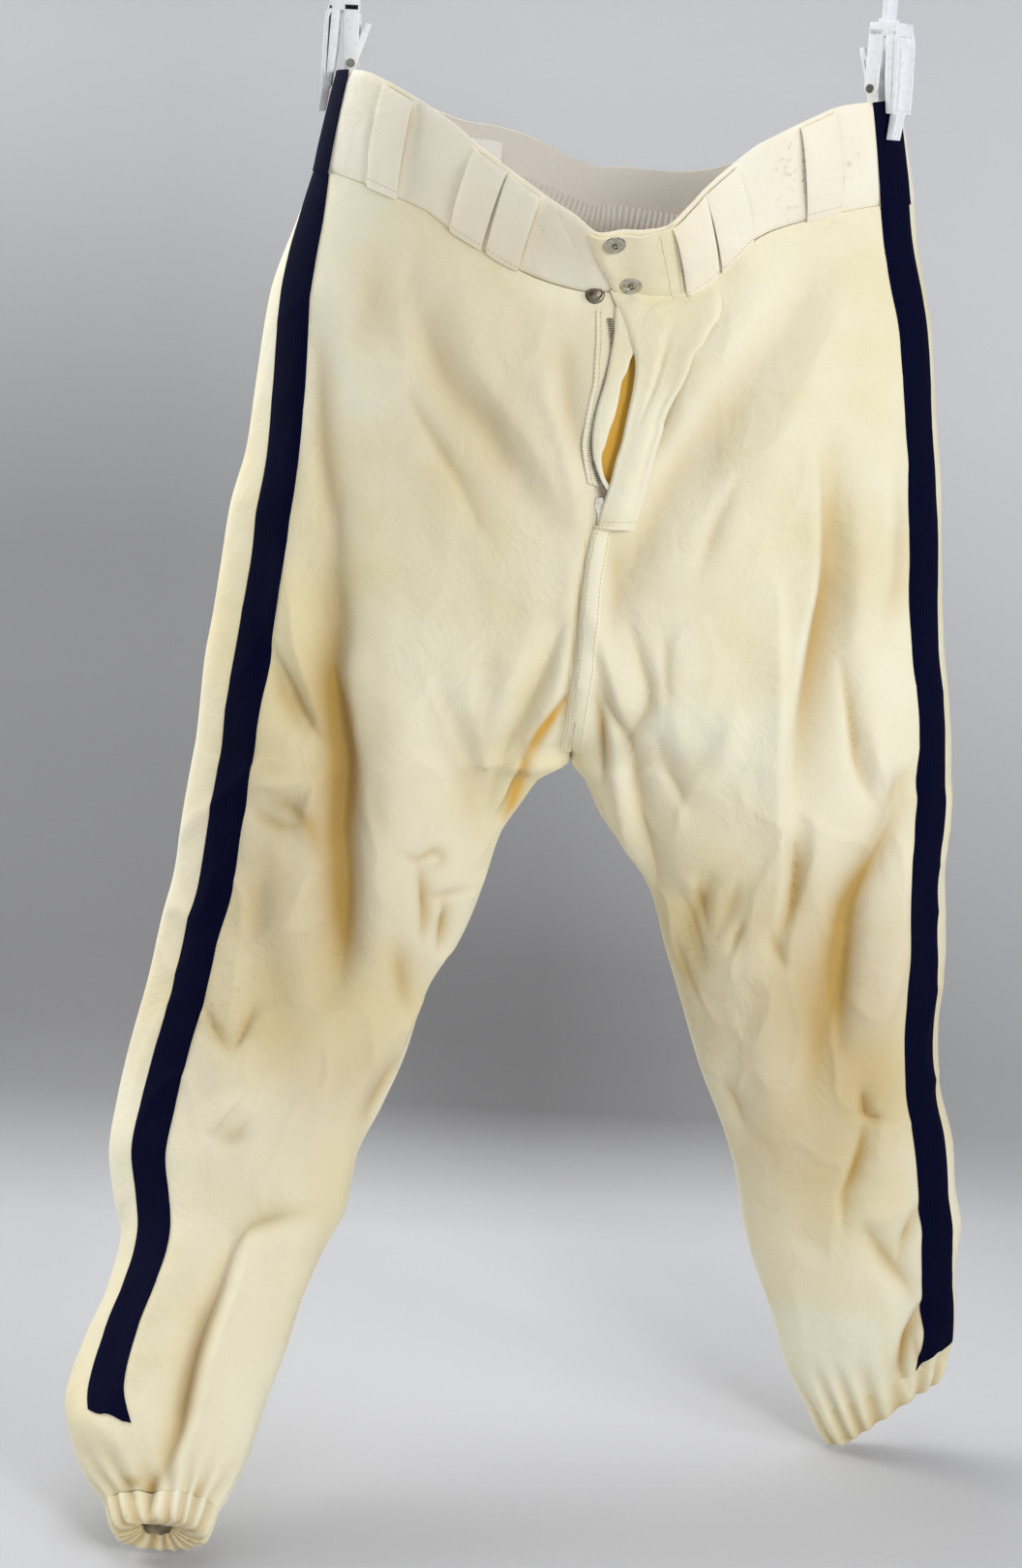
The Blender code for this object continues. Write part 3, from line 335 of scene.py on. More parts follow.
FRONT_FOLDS = (
    Fold("fly drag left", 7, 15, 22, ((-123, -105), (-108, -152), (-90, -186), (-71, -203),
         (-54, -228), (-29, -258)), 1.8, 0.25),
    Fold("fly roll left", -5, 11, 12, ((-85, -142), (-81, -162), (-60, -191), (-39, -216),
         (-13, -261)), 1.6),
    Fold("fly ridge left", -3.5, 7, 9, ((-34, -178), (-22, -204), (-11, -241), (-4, -265)), 1.6),
    Fold("fly hollow left", 4, 9, 9, ((-22, -150), (-16, -190), (-7, -225))),
    Fold("hip hollow left", 5, 20, 24, ((-150, -90), (-146, -130), (-150, -170))),
    Fold("stripe trough", 6, 9, 15, ((-181, -150), (-176, -219), (-166, -287)), 1.8, 0.5),
    Fold("thigh trough left", 17, 22, 15, ((-168, -270), (-163, -343), (-166, -374),
         (-159, -406), (-153, -441), (-152, -484), (-151, -540), (-154, -590)), 1.8, 1.0),
    Fold("thigh edge left", -5, 12, 26, ((-124, -330), (-120, -420), (-118, -500),
         (-122, -580))),
    Fold("crumple 1", -6, 9, 10, ((-196, -300), (-190, -345), (-184, -372), (-170, -412)), 1.5),
    Fold("crumple 2", 6, 9, 9, ((-206, -367), (-196, -392), (-180, -420)), 1.5, 0.5),
    Fold("crumple 3", -6, 7, 8, ((-210, -453), (-191, -453), (-175, -447), (-164, -438)), 1.4),
    Fold("crumple 4", 6, 8, 10, ((-207, -468), (-190, -466), (-176, -476), (-166, -500)), 1.5,
         0.5),
    Fold("crumple 5", -8, 7, 9, ((-162, -443), (-170, -455), (-176, -470), (-173, -487),
         (-160, -503)), 1.35),
    Fold("crumple 6", -5, 8, 10, ((-160, -503), (-173, -515), (-180, -532), (-188, -548)), 1.4),
    Fold("crumple 7", 5, 14, 16, ((-196, -500), (-208, -540), (-206, -580)), 1.8, 0.15),
    Fold("knee shade", 6, 26, 22, ((-200, -560), (-190, -600), (-186, -630)), 1.8, 0.15),
    Fold("crotch drag left", 11, 13, 4, ((-14, -335), (-21, -363), (-29, -387), (-37, -414),
         (-47, -444), (-51, -467)), 1.3, 0.35),
    Fold("crotch roll left", -5, 10, 10, ((-8, -356), (-18, -392), (-27, -424), (-40, -462)),
         1.6),
    Fold("crotch tent left", -4, 10, 14, ((-30, -325), (-44, -372), (-58, -420)), 1.7),
    Fold("inner thigh left", 8, 18, 12, ((-96, -378), (-84, -405), (-74, -430), (-62, -462),
         (-54, -503)), 1.8, 0.25),
    Fold("inner roll left", -4, 10, 10, ((-70, -380), (-62, -420), (-52, -455))),
    Fold("thigh crease 1", 7, 3, 9, ((-98, -503), (-95, -522), (-93, -539), (-94, -560)), 1.25,
         0.7),
    Fold("thigh crease 2", 7, 4, 7, ((-79, -530), (-79, -547), (-81, -570)), 1.25, 0.8),
    Fold("thigh crease 3", 3.5, 6, 5, ((-113, -493), (-100, -498), (-88, -494), (-82, -501),
         (-89, -509)), 1.3, 0.4),
    Fold("thigh crease 4", 5, 8, 12, ((-112, -560), (-106, -585), (-100, -612)), 1.5, 0.5),
    Fold("knee roll left", -6, 10, 13, ((-92, -600), (-104, -616), (-124, -640), (-142, -668)),
         1.6),
    Fold("knee hollow left", 6, 14, 18, ((-100, -640), (-116, -668), (-130, -690)), 1.8, 0.5),
    Fold("knee peak left", -6, 18, 18, ((-238, -600), (-222, -640), (-205, -690)), 1.8),
    Fold("knee v 1", 7, 6, 9, ((-240, -608), (-229, -625), (-219, -637)), 1.3, 0.5),
    Fold("knee v 2", -5, 8, 9, ((-204, -662), (-216, -674), (-228, -694)), 1.4),
    Fold("knee v 3", 6, 6, 7, ((-206, -604), (-212, -621), (-218, -637)), 1.3, 0.4),
    Fold("shin fold left", 7, 7, 8, ((-208, -758), (-203, -746), (-195, -740), (-180, -737),
         (-159, -734)), 1.3, 0.4),
    Fold("shin roll left", -6, 12, 14, ((-178, -716), (-170, -760), (-176, -800)), 1.8),
    Fold("shin valley", 21, 13, 6, ((-210, -750), (-215, -775), (-222, -795), (-226, -812),
         (-228, -829), (-230, -844), (-235, -858), (-240, -870), (-246, -882), (-249, -893),
         (-249, -906)), 1.45, 0.65),
    Fold("shin pleat", -4, 8, 10, ((-250, -760), (-262, -800), (-272, -840)), 1.7),
    Fold("braid bunch", -6, 10, 12, ((-302, -850), (-284, -852), (-268, -860), (-254, -872)),
         1.5),
    Fold("fly recess", 7, 15, 20, ((30, -136), (34, -170), (26, -215), (16, -258)), 2.2, 0.0),
    Fold("fly drag right", 12, 12, 17, ((84, -178), (72, -200), (52, -237), (40, -266),
         (30, -296))),
    Fold("fly hollow right", 6, 10, 12, ((52, -168), (46, -195), (40, -225))),
    Fold("hip drag", 9, 19, 17, ((135, -100), (126, -122), (112, -146), (95, -174), (82, -209),
         (66, -255)), 1.8, 0.25),
    Fold("hip roll", -5, 14, 15, ((104, -112), (88, -146), (72, -182)), 1.7),
    Fold("hip ridge", -4, 12, 14, ((160, -92), (150, -130), (130, -180), (110, -230)), 1.8),
    Fold("seam strip drag", 6, 7, 12, ((16, -272), (22, -300), (20, -340)), 1.6),
    Fold("hip pleat", 14, 4.5, 24, ((154, -215), (159, -258), (160, -298), (156, -332),
         (152, -368), (150, -400), (150, -440)), 1.5, 0.9),
    Fold("hip pleat lip", -5, 12, 5, ((146, -220), (151, -262), (152, -300), (147, -340),
         (143, -390)), 1.6),
    Fold("pleat roll", -6, 10, 16, ((176, -240), (180, -290), (182, -330), (176, -352)), 1.8),
    Fold("outer crease 1", 8, 3, 10, ((174, -348), (181, -373), (185, -393), (188, -411),
         (193, -426), (200, -440)), 1.25, 0.7),
    Fold("outer crease 2", -7, 7, 8, ((197, -395), (203, -415), (210, -426), (214, -440),
         (211, -462), (200, -488), (192, -511)), 1.4),
    Fold("outer crease 3", 6, 8, 9, ((228, -420), (218, -436), (208, -452)), 1.4),
    Fold("outer drag", -4, 9, 12, ((192, -220), (200, -262), (204, -300)), 1.8),
    Fold("outer drag 2", 5, 10, 12, ((206, -230), (210, -280), (206, -330))),
    Fold("thigh line", -6, 16, 4, ((126, -300), (130, -340), (134, -389), (139, -448),
         (143, -470), (145, -493), (145, -521), (143, -540)), 1.35),
    Fold("thigh pocket", 12, 4, 14, ((150, -466), (154, -490), (153, -518), (146, -545)), 1.35,
         0.65),
    Fold("pocket foot", 6, 4, 10, ((140, -536), (146, -552), (154, -562)), 1.3),
    Fold("pocket lip", -6, 5, 13, ((163, -456), (165, -472), (163, -495), (155, -525),
         (147, -544)), 1.4),
    Fold("outer knee", 14, 18, 9, ((222, -432), (218, -457), (207, -483), (197, -507),
         (193, -530), (192, -570), (194, -615)), 1.5, 1),
    Fold("outer knee roll", -6, 15, 14, ((228, -480), (226, -540), (222, -600)), 1.8),
    Fold("crotch pull 1", -5, 6, 8, ((10, -330), (20, -360), (30, -390), (38, -412)), 1.4),
    Fold("crotch pull 2", 9, 5, 6, ((13, -375), (16, -395), (18, -415), (22, -442)), 1.35, 0.95),
    Fold("crotch pull 3", 6, 8, 4, ((33, -330), (42, -356), (47, -371), (47, -386), (38, -404),
         (35, -416)), 1.3, 0.4),
    Fold("inner edge line", 9, 3.5, 12, ((12, -355), (19, -382), (31, -405), (38, -420),
         (42, -440), (48, -465), (56, -492), (62, -515)), 1.3, 0.5),
    Fold("inner edge lip", -4, 7, 6, ((28, -425), (34, -450), (42, -485), (52, -520)), 1.5),
    Fold("thigh drape 1", -3.5, 9, 11, ((66, -330), (60, -372), (68, -400), (78, -430)), 1.6),
    Fold("thigh drape 2", 5, 4, 9, ((56, -408), (65, -431), (78, -453)), 1.3, 0.35),
    Fold("thigh drape 3", -3.5, 9, 10, ((104, -380), (100, -410), (92, -436)), 1.6),
    Fold("knee mark 1", 4, 7, 9, ((98, -498), (94, -520), (84, -536)), 1.5),
    Fold("knee mark 2", 4, 7, 8, ((116, -500), (112, -526), (104, -546)), 1.5),
    Fold("knee mark 3", -3, 8, 9, ((76, -500), (90, -512), (104, -510), (120, -490)), 1.5),
    Fold("knee mark 4", 4, 8, 8, ((78, -532), (88, -556), (96, -572)), 1.5),
    Fold("inner crumple", 6, 6, 9, ((116, -648), (124, -662), (134, -682)), 1.4),
    Fold("shin drape right", -4, 14, 16, ((150, -560), (146, -620), (156, -680)), 1.9),
    Fold("shin hollow right", 5, 14, 14, ((176, -580), (180, -620), (176, -660))),
    Fold("outer tuck 1", 7, 4, 6, ((212, -646), (215, -662), (222, -667), (230, -668)), 1.3,
         0.5),
    Fold("outer tuck 2", -4, 9, 8, ((232, -630), (226, -650), (216, -668)), 1.5),
    Fold("outer line", 8, 3, 9, ((221, -668), (216, -676), (214, -692), (210, -710), (206, -725),
         (206, -744)), 1.3, 0.7),
    Fold("outer shelf", -4, 12, 10, ((206, -744), (224, -742), (246, -736)), 1.6),
    Fold("side nick", 8, 4, 6, ((260, -733), (253, -752), (249, -770)), 1.3, 0.5),
    Fold("shin drag", 8, 6, 11, ((220, -745), (232, -762), (246, -779), (257, -793),
         (262, -808)), 1.35, 0.6),
    Fold("cuff pinch", 15, 4, 8, ((272, -806), (267, -818), (261, -832), (259, -848),
         (260, -861), (266, -874)), 1.3, 1),
    Fold("cuff roll", -5, 8, 8, ((276, -818), (268, -834), (270, -854)), 1.6),
    Fold("trough lip", -5, 5, 16, ((-150, -384), (-143, -412), (-140, -458), (-137, -485),
         (-134, -515), (-134, -556)), 1.35),
    Fold("trough heart", 7, 8, 8, ((-164, -372), (-157, -402), (-150, -432), (-149, -463),
         (-152, -488)), 1.4, 0.8),
    Fold("trough foot", 6, 11, 8, ((-146, -490), (-144, -527), (-144, -562), (-147, -590)), 1.5,
         0.6),
    Fold("trough left lip", -4, 12, 5, ((-170, -372), (-163, -402), (-158, -427), (-157, -450)),
         1.4),
    Fold("braid nick", 7, 5, 8, ((-202, -366), (-193, -382), (-186, -397), (-176, -412),
         (-169, -422)), 1.3, 0.5),
    Fold("inner drape", -4, 18, 5, ((-100, -370), (-84, -412), (-66, -450), (-59, -476),
         (-53, -505)), 1.4),
    Fold("inner shade", 6, 16, 12, ((-56, -372), (-60, -399), (-60, -430), (-55, -470)), 1.7,
         0.2),
    Fold("slit upper", 8, 4, 4.5, ((-6, -382), (-14, -394), (-21, -406), (-26, -417),
         (-31, -430)), 1.3, 1),
    Fold("slit lower", 9, 3.5, 5, ((-31, -428), (-34, -443), (-38, -461), (-43, -476)), 1.3, 1),
    Fold("side ripple", 4, 7, 7, ((-214, -472), (-203, -477), (-190, -481), (-177, -478)), 1.4,
         0.4),
    Fold("thigh ripple", 3.5, 5, 5, ((-90, -529), (-76, -526), (-60, -523)), 1.4),
    Fold("shin nick", 6, 7, 7, ((-228, -690), (-214, -688), (-205, -679)), 1.3),
    Fold("lobe crest", -7, 6, 18, ((-199, -760), (-204, -780), (-210, -797), (-216, -817),
         (-220, -833), (-223, -850), (-228, -866)), 1.4),
    Fold("cuff crescent", 6, 4, 5, ((-243, -872), (-248, -881), (-252, -890), (-252, -899),
         (-247, -908)), 1.3, 1),
    Fold("cuff pinch a", 4, 4, 4, ((-251, -876), (-259, -878), (-268, -880)), 1.3, 0.6),
    Fold("cuff pinch b", 4, 4, 4, ((-253, -884), (-261, -886), (-270, -885)), 1.3, 0.6),
    Fold("cuff pinch c", 4, 4, 4, ((-213, -876), (-216, -886), (-217, -898)), 1.3, 0.5),
    Fold("strip shadow", 4, 4, 2, ((3, -266), (-1, -300), (-3, -340), (-6, -380), (-10, -424)),
         1.2, 0.5),
    Fold("thigh nick right", 4, 4, 8, ((56, -338), (58, -355), (61, -388)), 1.35),
    Fold("knee mark 5", 4, 5, 7, ((90, -500), (92, -524), (99, -545)), 1.35, 0.4),
    Fold("knee mark 6", 4, 5, 8, ((78, -516), (88, -540), (97, -563)), 1.35, 0.4),
    Fold("knee mark 7", 4, 5, 7, ((76, -553), (83, -571), (96, -592)), 1.35, 0.4),
    Fold("knee mark 8", 5, 4, 6, ((122, -530), (119, -541), (115, -554)), 1.3, 0.4),
    Fold("belly ripple 1", 4, 7, 9, ((-120, -190), (-104, -214), (-86, -240), (-70, -270)), 1.4),
    Fold("belly ripple 2", 3.5, 6, 8, ((96, -232), (84, -262), (74, -296)), 1.4),
    Fold("cuff inner", 5, 4, 5, ((266, -834), (270, -846), (277, -860)), 1.3, 0.5),
)
BACK_FOLDS = (
    Fold("seat drape left", 9, 26, 30, ((-60, -240), (-96, -340), (-150, -430))),
    Fold("seat drape right", 9, 30, 26, ((60, -250), (106, -350), (160, -430))),
    Fold("seat roll left", -5, 20, 20, ((-100, -150), (-80, -240), (-50, -330)), 1.9),
    Fold("seat roll right", -5, 20, 20, ((104, -140), (84, -230), (40, -320)), 1.9),
    Fold("hip pull left", 6, 14, 18, ((-170, -110), (-150, -190), (-160, -280)), 1.7),
    Fold("hip pull right", 6, 18, 14, ((174, -110), (156, -200), (170, -290)), 1.7),
    Fold("fork pull left", 8, 9, 12, ((-8, -330), (-30, -380), (-52, -430), (-60, -480)), 1.6),
    Fold("fork pull right", 8, 12, 9, ((8, -335), (28, -385), (46, -435), (62, -490)), 1.6),
    Fold("thigh back left", 7, 14, 18, ((-130, -440), (-150, -500), (-140, -570)), 1.7),
    Fold("thigh back right", 7, 18, 14, ((120, -430), (150, -500), (136, -560)), 1.7),
    Fold("knee back 1", 8, 16, 20, ((-240, -560), (-196, -615), (-150, -640)), 1.6),
    Fold("knee back 2", -5, 12, 14, ((-236, -590), (-200, -636), (-168, -660)), 1.6),
    Fold("knee back 3", 8, 20, 16, ((110, -600), (160, -640), (226, -630)), 1.6),
    Fold("knee back 4", -5, 14, 12, ((124, -630), (170, -668), (224, -660)), 1.6),
    Fold("shin back left", 8, 12, 14, ((-214, -720), (-226, -780), (-240, -850)), 1.6),
    Fold("shin back right", 7, 14, 12, ((190, -700), (206, -760), (230, -830)), 1.6),
)

# Patches of the front painted darker and yellower, partly age's yellowing and
# partly painted shade: x, z, size and share.  Each is PATCH_TALL times as tall
# as it is wide.
PATCH_TALL = 1.3
YELLOWING_AND_SHADE_PATCHES = ((-60, -190, 60, 0.28), (-196, -560, 90, 0.3), (-110, -650, 70, 0.16),
            (110, -570, 75, 0.24), (200, -590, 62, 0.42), (186, -680, 66, 0.36),
            (-230, -800, 70, 0.12), (24, -300, 40, 0.15), (-150, -480, 60, 0.15))


def fold_total(folds: Sequence[Fold], x: np.ndarray,
               z: np.ndarray) -> tuple[np.ndarray, np.ndarray]:
    """Depth of one face's folds at each point of a grid, and their painted shade with yellowing.

    Args:
        folds: of one face.
        x: across, one value for each point.
        z: up, likewise.

    Returns:
        Both, with a trough counted as positive.
    """
    total, yellowing_and_shade_sum = np.zeros(x.shape), np.zeros(x.shape)
    for fold in folds:
        share = fold.push(x, z)
        total = total + fold.depth * share
        if fold.depth > 0:
            # troughs are painted darker and yellower: painted shade with age's yellowing
            yellowing_and_shade_sum = yellowing_and_shade_sum + fold.yellowing_and_shade * share ** 2
    return total, yellowing_and_shade_sum


def undulation(points: np.ndarray, scale: float, seed: float) -> np.ndarray:
    """Slow random waves of the cloth, from -1 to 1.

    Args:
        points: grid of points in millimetres.
        scale: size of a wave in millimetres.
        seed: moves the pattern.

    Returns:
        One number for each point of the grid.
    """
    flat = points.reshape(-1, 3) / scale + seed
    values = [noise.noise(Vector(p)) for p in flat]
    return np.array(values).reshape(points.shape[:-1])


@dataclass(frozen=True)
class Wave:
    """Random waves of hanging cloth: how high, how wide and how much stretched down."""

    height: float
    scale: float
    seed: float
    stretch: float

    def at(self, points: np.ndarray, side: Side) -> np.ndarray:
        """The waves from -1 to 1, each leg with its own."""
        return undulation(points * (1, 1, self.stretch), self.scale, side.value * self.seed)


SLOW_WAVE = Wave(2.0, 46, 3.7, 0.55)
FINE_WAVE = Wave(0.5, 17, 9.1, 0.7)
THIN_RIDGE = Wave(0.7, 34, 5.3, 0.6)


def trim_at(table: Path, x: np.ndarray) -> np.ndarray:
    """A trim table read at x."""
    keys, values = zip(*table)
    return smooth_lookup(keys, values, x)


@dataclass
class LegForm:
    """One half of the pants below the waistband, as a tube with folds."""

    side: Side
    rows: tuple[tuple[float, ...], ...]
    panel_end: float
    hem_end: float
    hem_pleats: int = 17
    gather_reach: float = 34.0
    gather_depth: float = 3.2
    # how far the hem's pleats are painted darker and yellower: painted shade with yellowing
    gather_yellowing_and_shade: float = 0.25
    ridge_power: int = 6            # how sharp the thin ridges are
    knee_ridges: float = 1.3        # how much higher they are at the knee
    knee: tuple = ((-390, -460), (-720, -640))
    seam_ease: tuple = (0.03, 0.32)     # sines over which folds grow from a seam
    waist_ease: tuple = (-51, -74)      # heights over which they grow from the waist
    hem_ease: tuple = (4, 45)           # how far over the hem they are full again

    def value(self, name: str, h: np.ndarray) -> np.ndarray:
        """A column of the leg's table at height h."""
        table = np.array(self.rows, dtype=float)[::-1]
        return smooth_lookup(table[:, 0], table[:, LEG_COLUMNS.index(name)], h)

    def wrap_angle(self, h: np.ndarray) -> np.ndarray:
        """Angle of the inner edge, from the outer edge."""
        return np.radians(self.value("wrap", h))

    def radius(self, h: np.ndarray) -> np.ndarray:
        """Half width of the section."""
        span = self.value("out_x", h) - self.value("in_x", h)
        return span / (1 - np.cos(self.wrap_angle(h)))

    def seam_angle(self, h: np.ndarray) -> np.ndarray:
        """Angle of the side seam, from the outer edge."""
        return np.arccos(1 - self.value("seam", h) / self.radius(h))

    def plain(self, theta: np.ndarray, h: np.ndarray) -> np.ndarray:
        """Points of the leg's outer face without its folds.

        Args:
            theta: angle round the section, positive round the front.
            h: height at the outer edge, which broadcasts with theta.

        Returns:
            Points, with x, y and z along the last axis.
        """
        get = {name: self.value(name, h) for name in LEG_COLUMNS[1:]}
        turn = np.abs(theta)
        front = theta >= 0
        cos_end = np.cos(np.radians(get["wrap"]))
        across = np.clip((1 - np.cos(turn)) / (1 - cos_end), 0, 1)
        x = get["out_x"] - self.radius(h) * (1 - np.cos(turn))
        bulge = np.maximum(np.sin(turn), 0) ** SECTION_POWER
        depth = np.where(front, -get["front"], get["back"]) * bulge
        tilt = np.radians(get["tilt"])
        sag = np.where(front, get["sag_front"], get["sag_back"])
        y = get["out_y"] + depth * np.cos(tilt)
        z = h - sag * hang_share(across) - depth * np.sin(tilt)
        x, y, z = np.broadcast_arrays(x * self.side.value, y, z)
        down = h + 0 * theta
        trim = np.where(front, trim_at(SEAM_TRIM, x) * smoothstep(*FRONT_TRIM_REACH, down),
                        trim_at(BACK_TRIM, x) * smoothstep(*BACK_TRIM_REACH, down))
        return np.stack([x, y, z + trim], axis=-1)

    def surface(self, theta: np.ndarray, h: np.ndarray) -> tuple[np.ndarray, np.ndarray]:
        """Folded points of the outer face on a grid.

        Args:
            theta: angles, rows by columns.
            h: heights, rows by one.

        Returns:
            The points, and the painted shade with yellowing of the folds and pleats there.
        """
        plain = self.plain(theta, h)
        front = theta >= 0
        x, z = plain[..., 0], plain[..., 2]
        before, behind = fold_total(FRONT_FOLDS, x, z), fold_total(BACK_FOLDS, x, z)
        fold = np.where(front, before[0], behind[0])
        yellowing_and_shade_sum = np.where(front, before[1], behind[1])
        slow, fine, thin = (wave.at(plain, self.side)
                            for wave in (SLOW_WAVE, FINE_WAVE, THIN_RIDGE))
        ridge = (1 - np.abs(thin)) ** self.ridge_power
        knee = smoothstep(*self.knee[0], z) * smoothstep(*self.knee[1], z)
        fold = (fold + SLOW_WAVE.height * slow * smoothstep(-60, -110, h)
                + FINE_WAVE.height * fine)
        fold = fold - (THIN_RIDGE.height + self.knee_ridges * knee) * ridge
        fade = (smoothstep(*self.seam_ease, np.sin(np.abs(theta)))
                * smoothstep(*self.waist_ease, h))
        near, far = self.hem_ease
        keep = smoothstep(self.panel_end + near, self.panel_end + far, h)
        fold = fold * fade * (0.5 + 0.5 * keep)
        # patches painted darker and yellower: age's yellowing and painted shade
        for at, down, size, share in YELLOWING_AND_SHADE_PATCHES:
            patch = np.exp(-((x - at) / size) ** 2 - ((z - down) / (PATCH_TALL * size)) ** 2)
            yellowing_and_shade_sum = yellowing_and_shade_sum + np.where(front, share * patch * (1 + 0.5 * slow), 0.0)
        pleats = self.gather(theta, h)
        outward = outward_normals(plain, None, self.side)
        moved = plain - outward * (fold + pleats)[..., None]
        # folds, patches and pleats painted darker and yellower: painted shade with age's
        # yellowing
        yellowing_and_shade = yellowing_and_shade_sum * fade + self.gather_yellowing_and_shade * pleats / self.gather_depth
        return moved, np.clip(yellowing_and_shade, 0, 1)

    def gather(self, theta: np.ndarray, h: np.ndarray) -> np.ndarray:
        """Pleats that the hem's elastic draws in, deepest at the hem.

        Args:
            theta: angles round the section.
            h: heights at the outer edge.

        Returns:
            How far each point moves inwards.
        """
        reach = smoothstep(self.panel_end + self.gather_reach, self.panel_end - 2, h)
        turn = theta * self.hem_pleats
        wave = np.cos(turn + 1.3 * np.sin(theta * 3 + 0.7) + 0.8 * np.sin(theta * 5 + 2))
        return (1.5 - 1.7 * wave) * reach ** 1.6

    def seam_start(self) -> float:
        """Angle of the side seam at the waist."""
        return float(self.seam_angle(np.array([[WAIST_SEAM]]))[0, 0])

    def braid_angles(self, h: np.ndarray) -> np.ndarray:
        """Angles of the braid's columns, with a spare one beyond each edge.

        Args:
            h: heights, rows by one.

        Returns:
            Angles, rows by columns.
        """
        half = BRAID_WIDTH / 2
        offsets = np.concatenate([[-BRAID_MARGIN], np.linspace(-half, half, BRAID_COLUMNS),
                                  [BRAID_MARGIN]])
        middle = self.seam_angle(h)
        spread = np.linspace(-1.5, 1.0, 240)[None, :]
        theta = middle + spread
        ring = self.plain(theta, h)
        steps = np.linalg.norm(np.diff(ring, axis=1), axis=2)
        run = np.concatenate([np.zeros((len(h), 1)), np.cumsum(steps, axis=1)], axis=1)
        rows = []
        for i in range(len(h)):
            zero = np.interp(middle[i, 0], theta[i], run[i])
            rows.append(np.interp(zero + offsets, run[i], theta[i]))
        return np.array(rows)


@dataclass
class WaistForm:
    """The waistband: a ring that leans out at the front and the back."""

    rim_z: float = 12.0
    sag: dict = field(default_factory=lambda: {Face.FRONT: 92.0, Face.BACK: 50.0})
    legs: dict = field(default_factory=dict)

    def half(self, side: Side, face: Face, theta: np.ndarray, share: np.ndarray) -> np.ndarray:
        """Points of one quarter of the band, share 0 at the rim and 1 at the seam.

        Args:
            side: which half.
            face: front or back.
            theta: angles from the side, up to a quarter turn.
            share: 0 at the rim and 1 at the seam.

        Returns:
            The points.
        """
        bulge = np.maximum(np.sin(theta), 0) ** SECTION_POWER
        x = RIM_SIDE_X[side] * np.cos(theta) * side.value
        y = RIM_DEPTH[face] * bulge * face.value
        z = self.rim_z - self.sag[face] * hang_share(1 - np.cos(theta))
        z = z + trim_at(RIM_TRIM if face is Face.FRONT else BACK_TRIM, x)
        top = np.stack(np.broadcast_arrays(x, y, z), axis=-1)
        turn = theta if face is Face.FRONT else -theta
        low = self.legs[side].plain(turn, np.full(theta.shape, WAIST_SEAM))
        return top + (low - top) * np.asarray(share)[..., None]

    def around(self, side: Side, theta: np.ndarray, share: np.ndarray) -> np.ndarray:
        """Points for angles that may pass from the front to the back.

        Args:
            side: which half.
            theta: angles, positive round the front.
            share: 0 at the rim and 1 at the seam.

        Returns:
            The points.
        """
        theta, share = np.broadcast_arrays(np.asarray(theta, float), np.asarray(share, float))
        front = self.half(side, Face.FRONT, np.abs(theta), share)
        back = self.half(side, Face.BACK, np.abs(theta), share)
        return np.where((theta >= 0)[..., None], front, back)

    def at(self, x: float, share: float, face: Face = Face.FRONT) -> np.ndarray:
        """Point of the band over a signed x.

        Args:
            x: across.
            share: 0 at the rim and 1 at the seam.
            face: front or back.

        Returns:
            The point.
        """
        side = Side.LEFT if x < 0 else Side.RIGHT
        top = math.acos(min(abs(x) / RIM_SIDE_X[side], 1.0))
        low = math.acos(min(abs(x) / self.legs[side].rows[0][1], 1.0))
        theta = np.array(top + (low - top) * share)
        return self.half(side, face, theta, np.array(share))

    def strip(self, left: Sequence[float], right: Sequence[float], shares: Sequence[float],
              columns: int, face: Face = Face.FRONT) -> np.ndarray:
        """A grid on the band between two edges given as x at each share.

        Args:
            left: the left edge's x at each share.
            right: the right edge's.
            shares: rows, 0 at the rim.
            columns: across the strip.
            face: front or back.

        Returns:
            The grid.
        """
        rows = []
        for x0, x1, share in zip(left, right, shares):
            rows.append([self.at(x0 + (x1 - x0) * t, share, face)
                         for t in np.linspace(0, 1, columns)])
        return np.array(rows)


def outward_normals(grid: np.ndarray, hint: Optional[Sequence[float]],
                    side: Optional[Side] = None, ring: bool = False) -> np.ndarray:
    """Unit normals of a grid of points, turned outwards as a whole.

    Args:
        grid: points, rows by columns.
        hint: a rough outward direction, or None for away from the middle.
        side: gives the middle of a leg's side where hint is None.
        ring: whether the columns close on themselves.

    Returns:
        One unit vector for each point.
    """
    work = np.concatenate([grid[:, -1:], grid, grid[:, :1]], axis=1) if ring else grid
    normal = np.cross(np.gradient(work, axis=0), np.gradient(work, axis=1))
    if ring:
        normal, work = normal[:, 1:-1], grid
    normal /= np.maximum(np.linalg.norm(normal, axis=-1, keepdims=True), TINY)
    if hint is not None:
        away = np.broadcast_to(np.asarray(hint, float), grid.shape)
    elif side is not None:
        middle = np.array((side.value * LEG_MIDDLE, 0.0, 0.0))
        away = (grid - middle) * (1.0, 1.0, 0.0)
    else:
        away = grid - grid.mean(axis=1, keepdims=True)
    return -normal if np.sum(normal * away) < 0 else normal


# ---------------------------------------------------------------- finishes
RIB_SCALE = 0.3142      # makes a wave texture's band one unit wide
FIBRE = 0.0003          # relief of knit, ribs or handling marks, in metres


def linear(hexa: str) -> tuple[float, float, float, float]:
    """An sRGB hex colour as linear RGBA."""
    parts = [int(hexa[i:i + 2], 16) / 255 for i in (1, 3, 5)]
    return (*[c / 12.92 if c <= 0.04045 else ((c + 0.055) / 1.055) ** 2.4 for c in parts], 1.0)


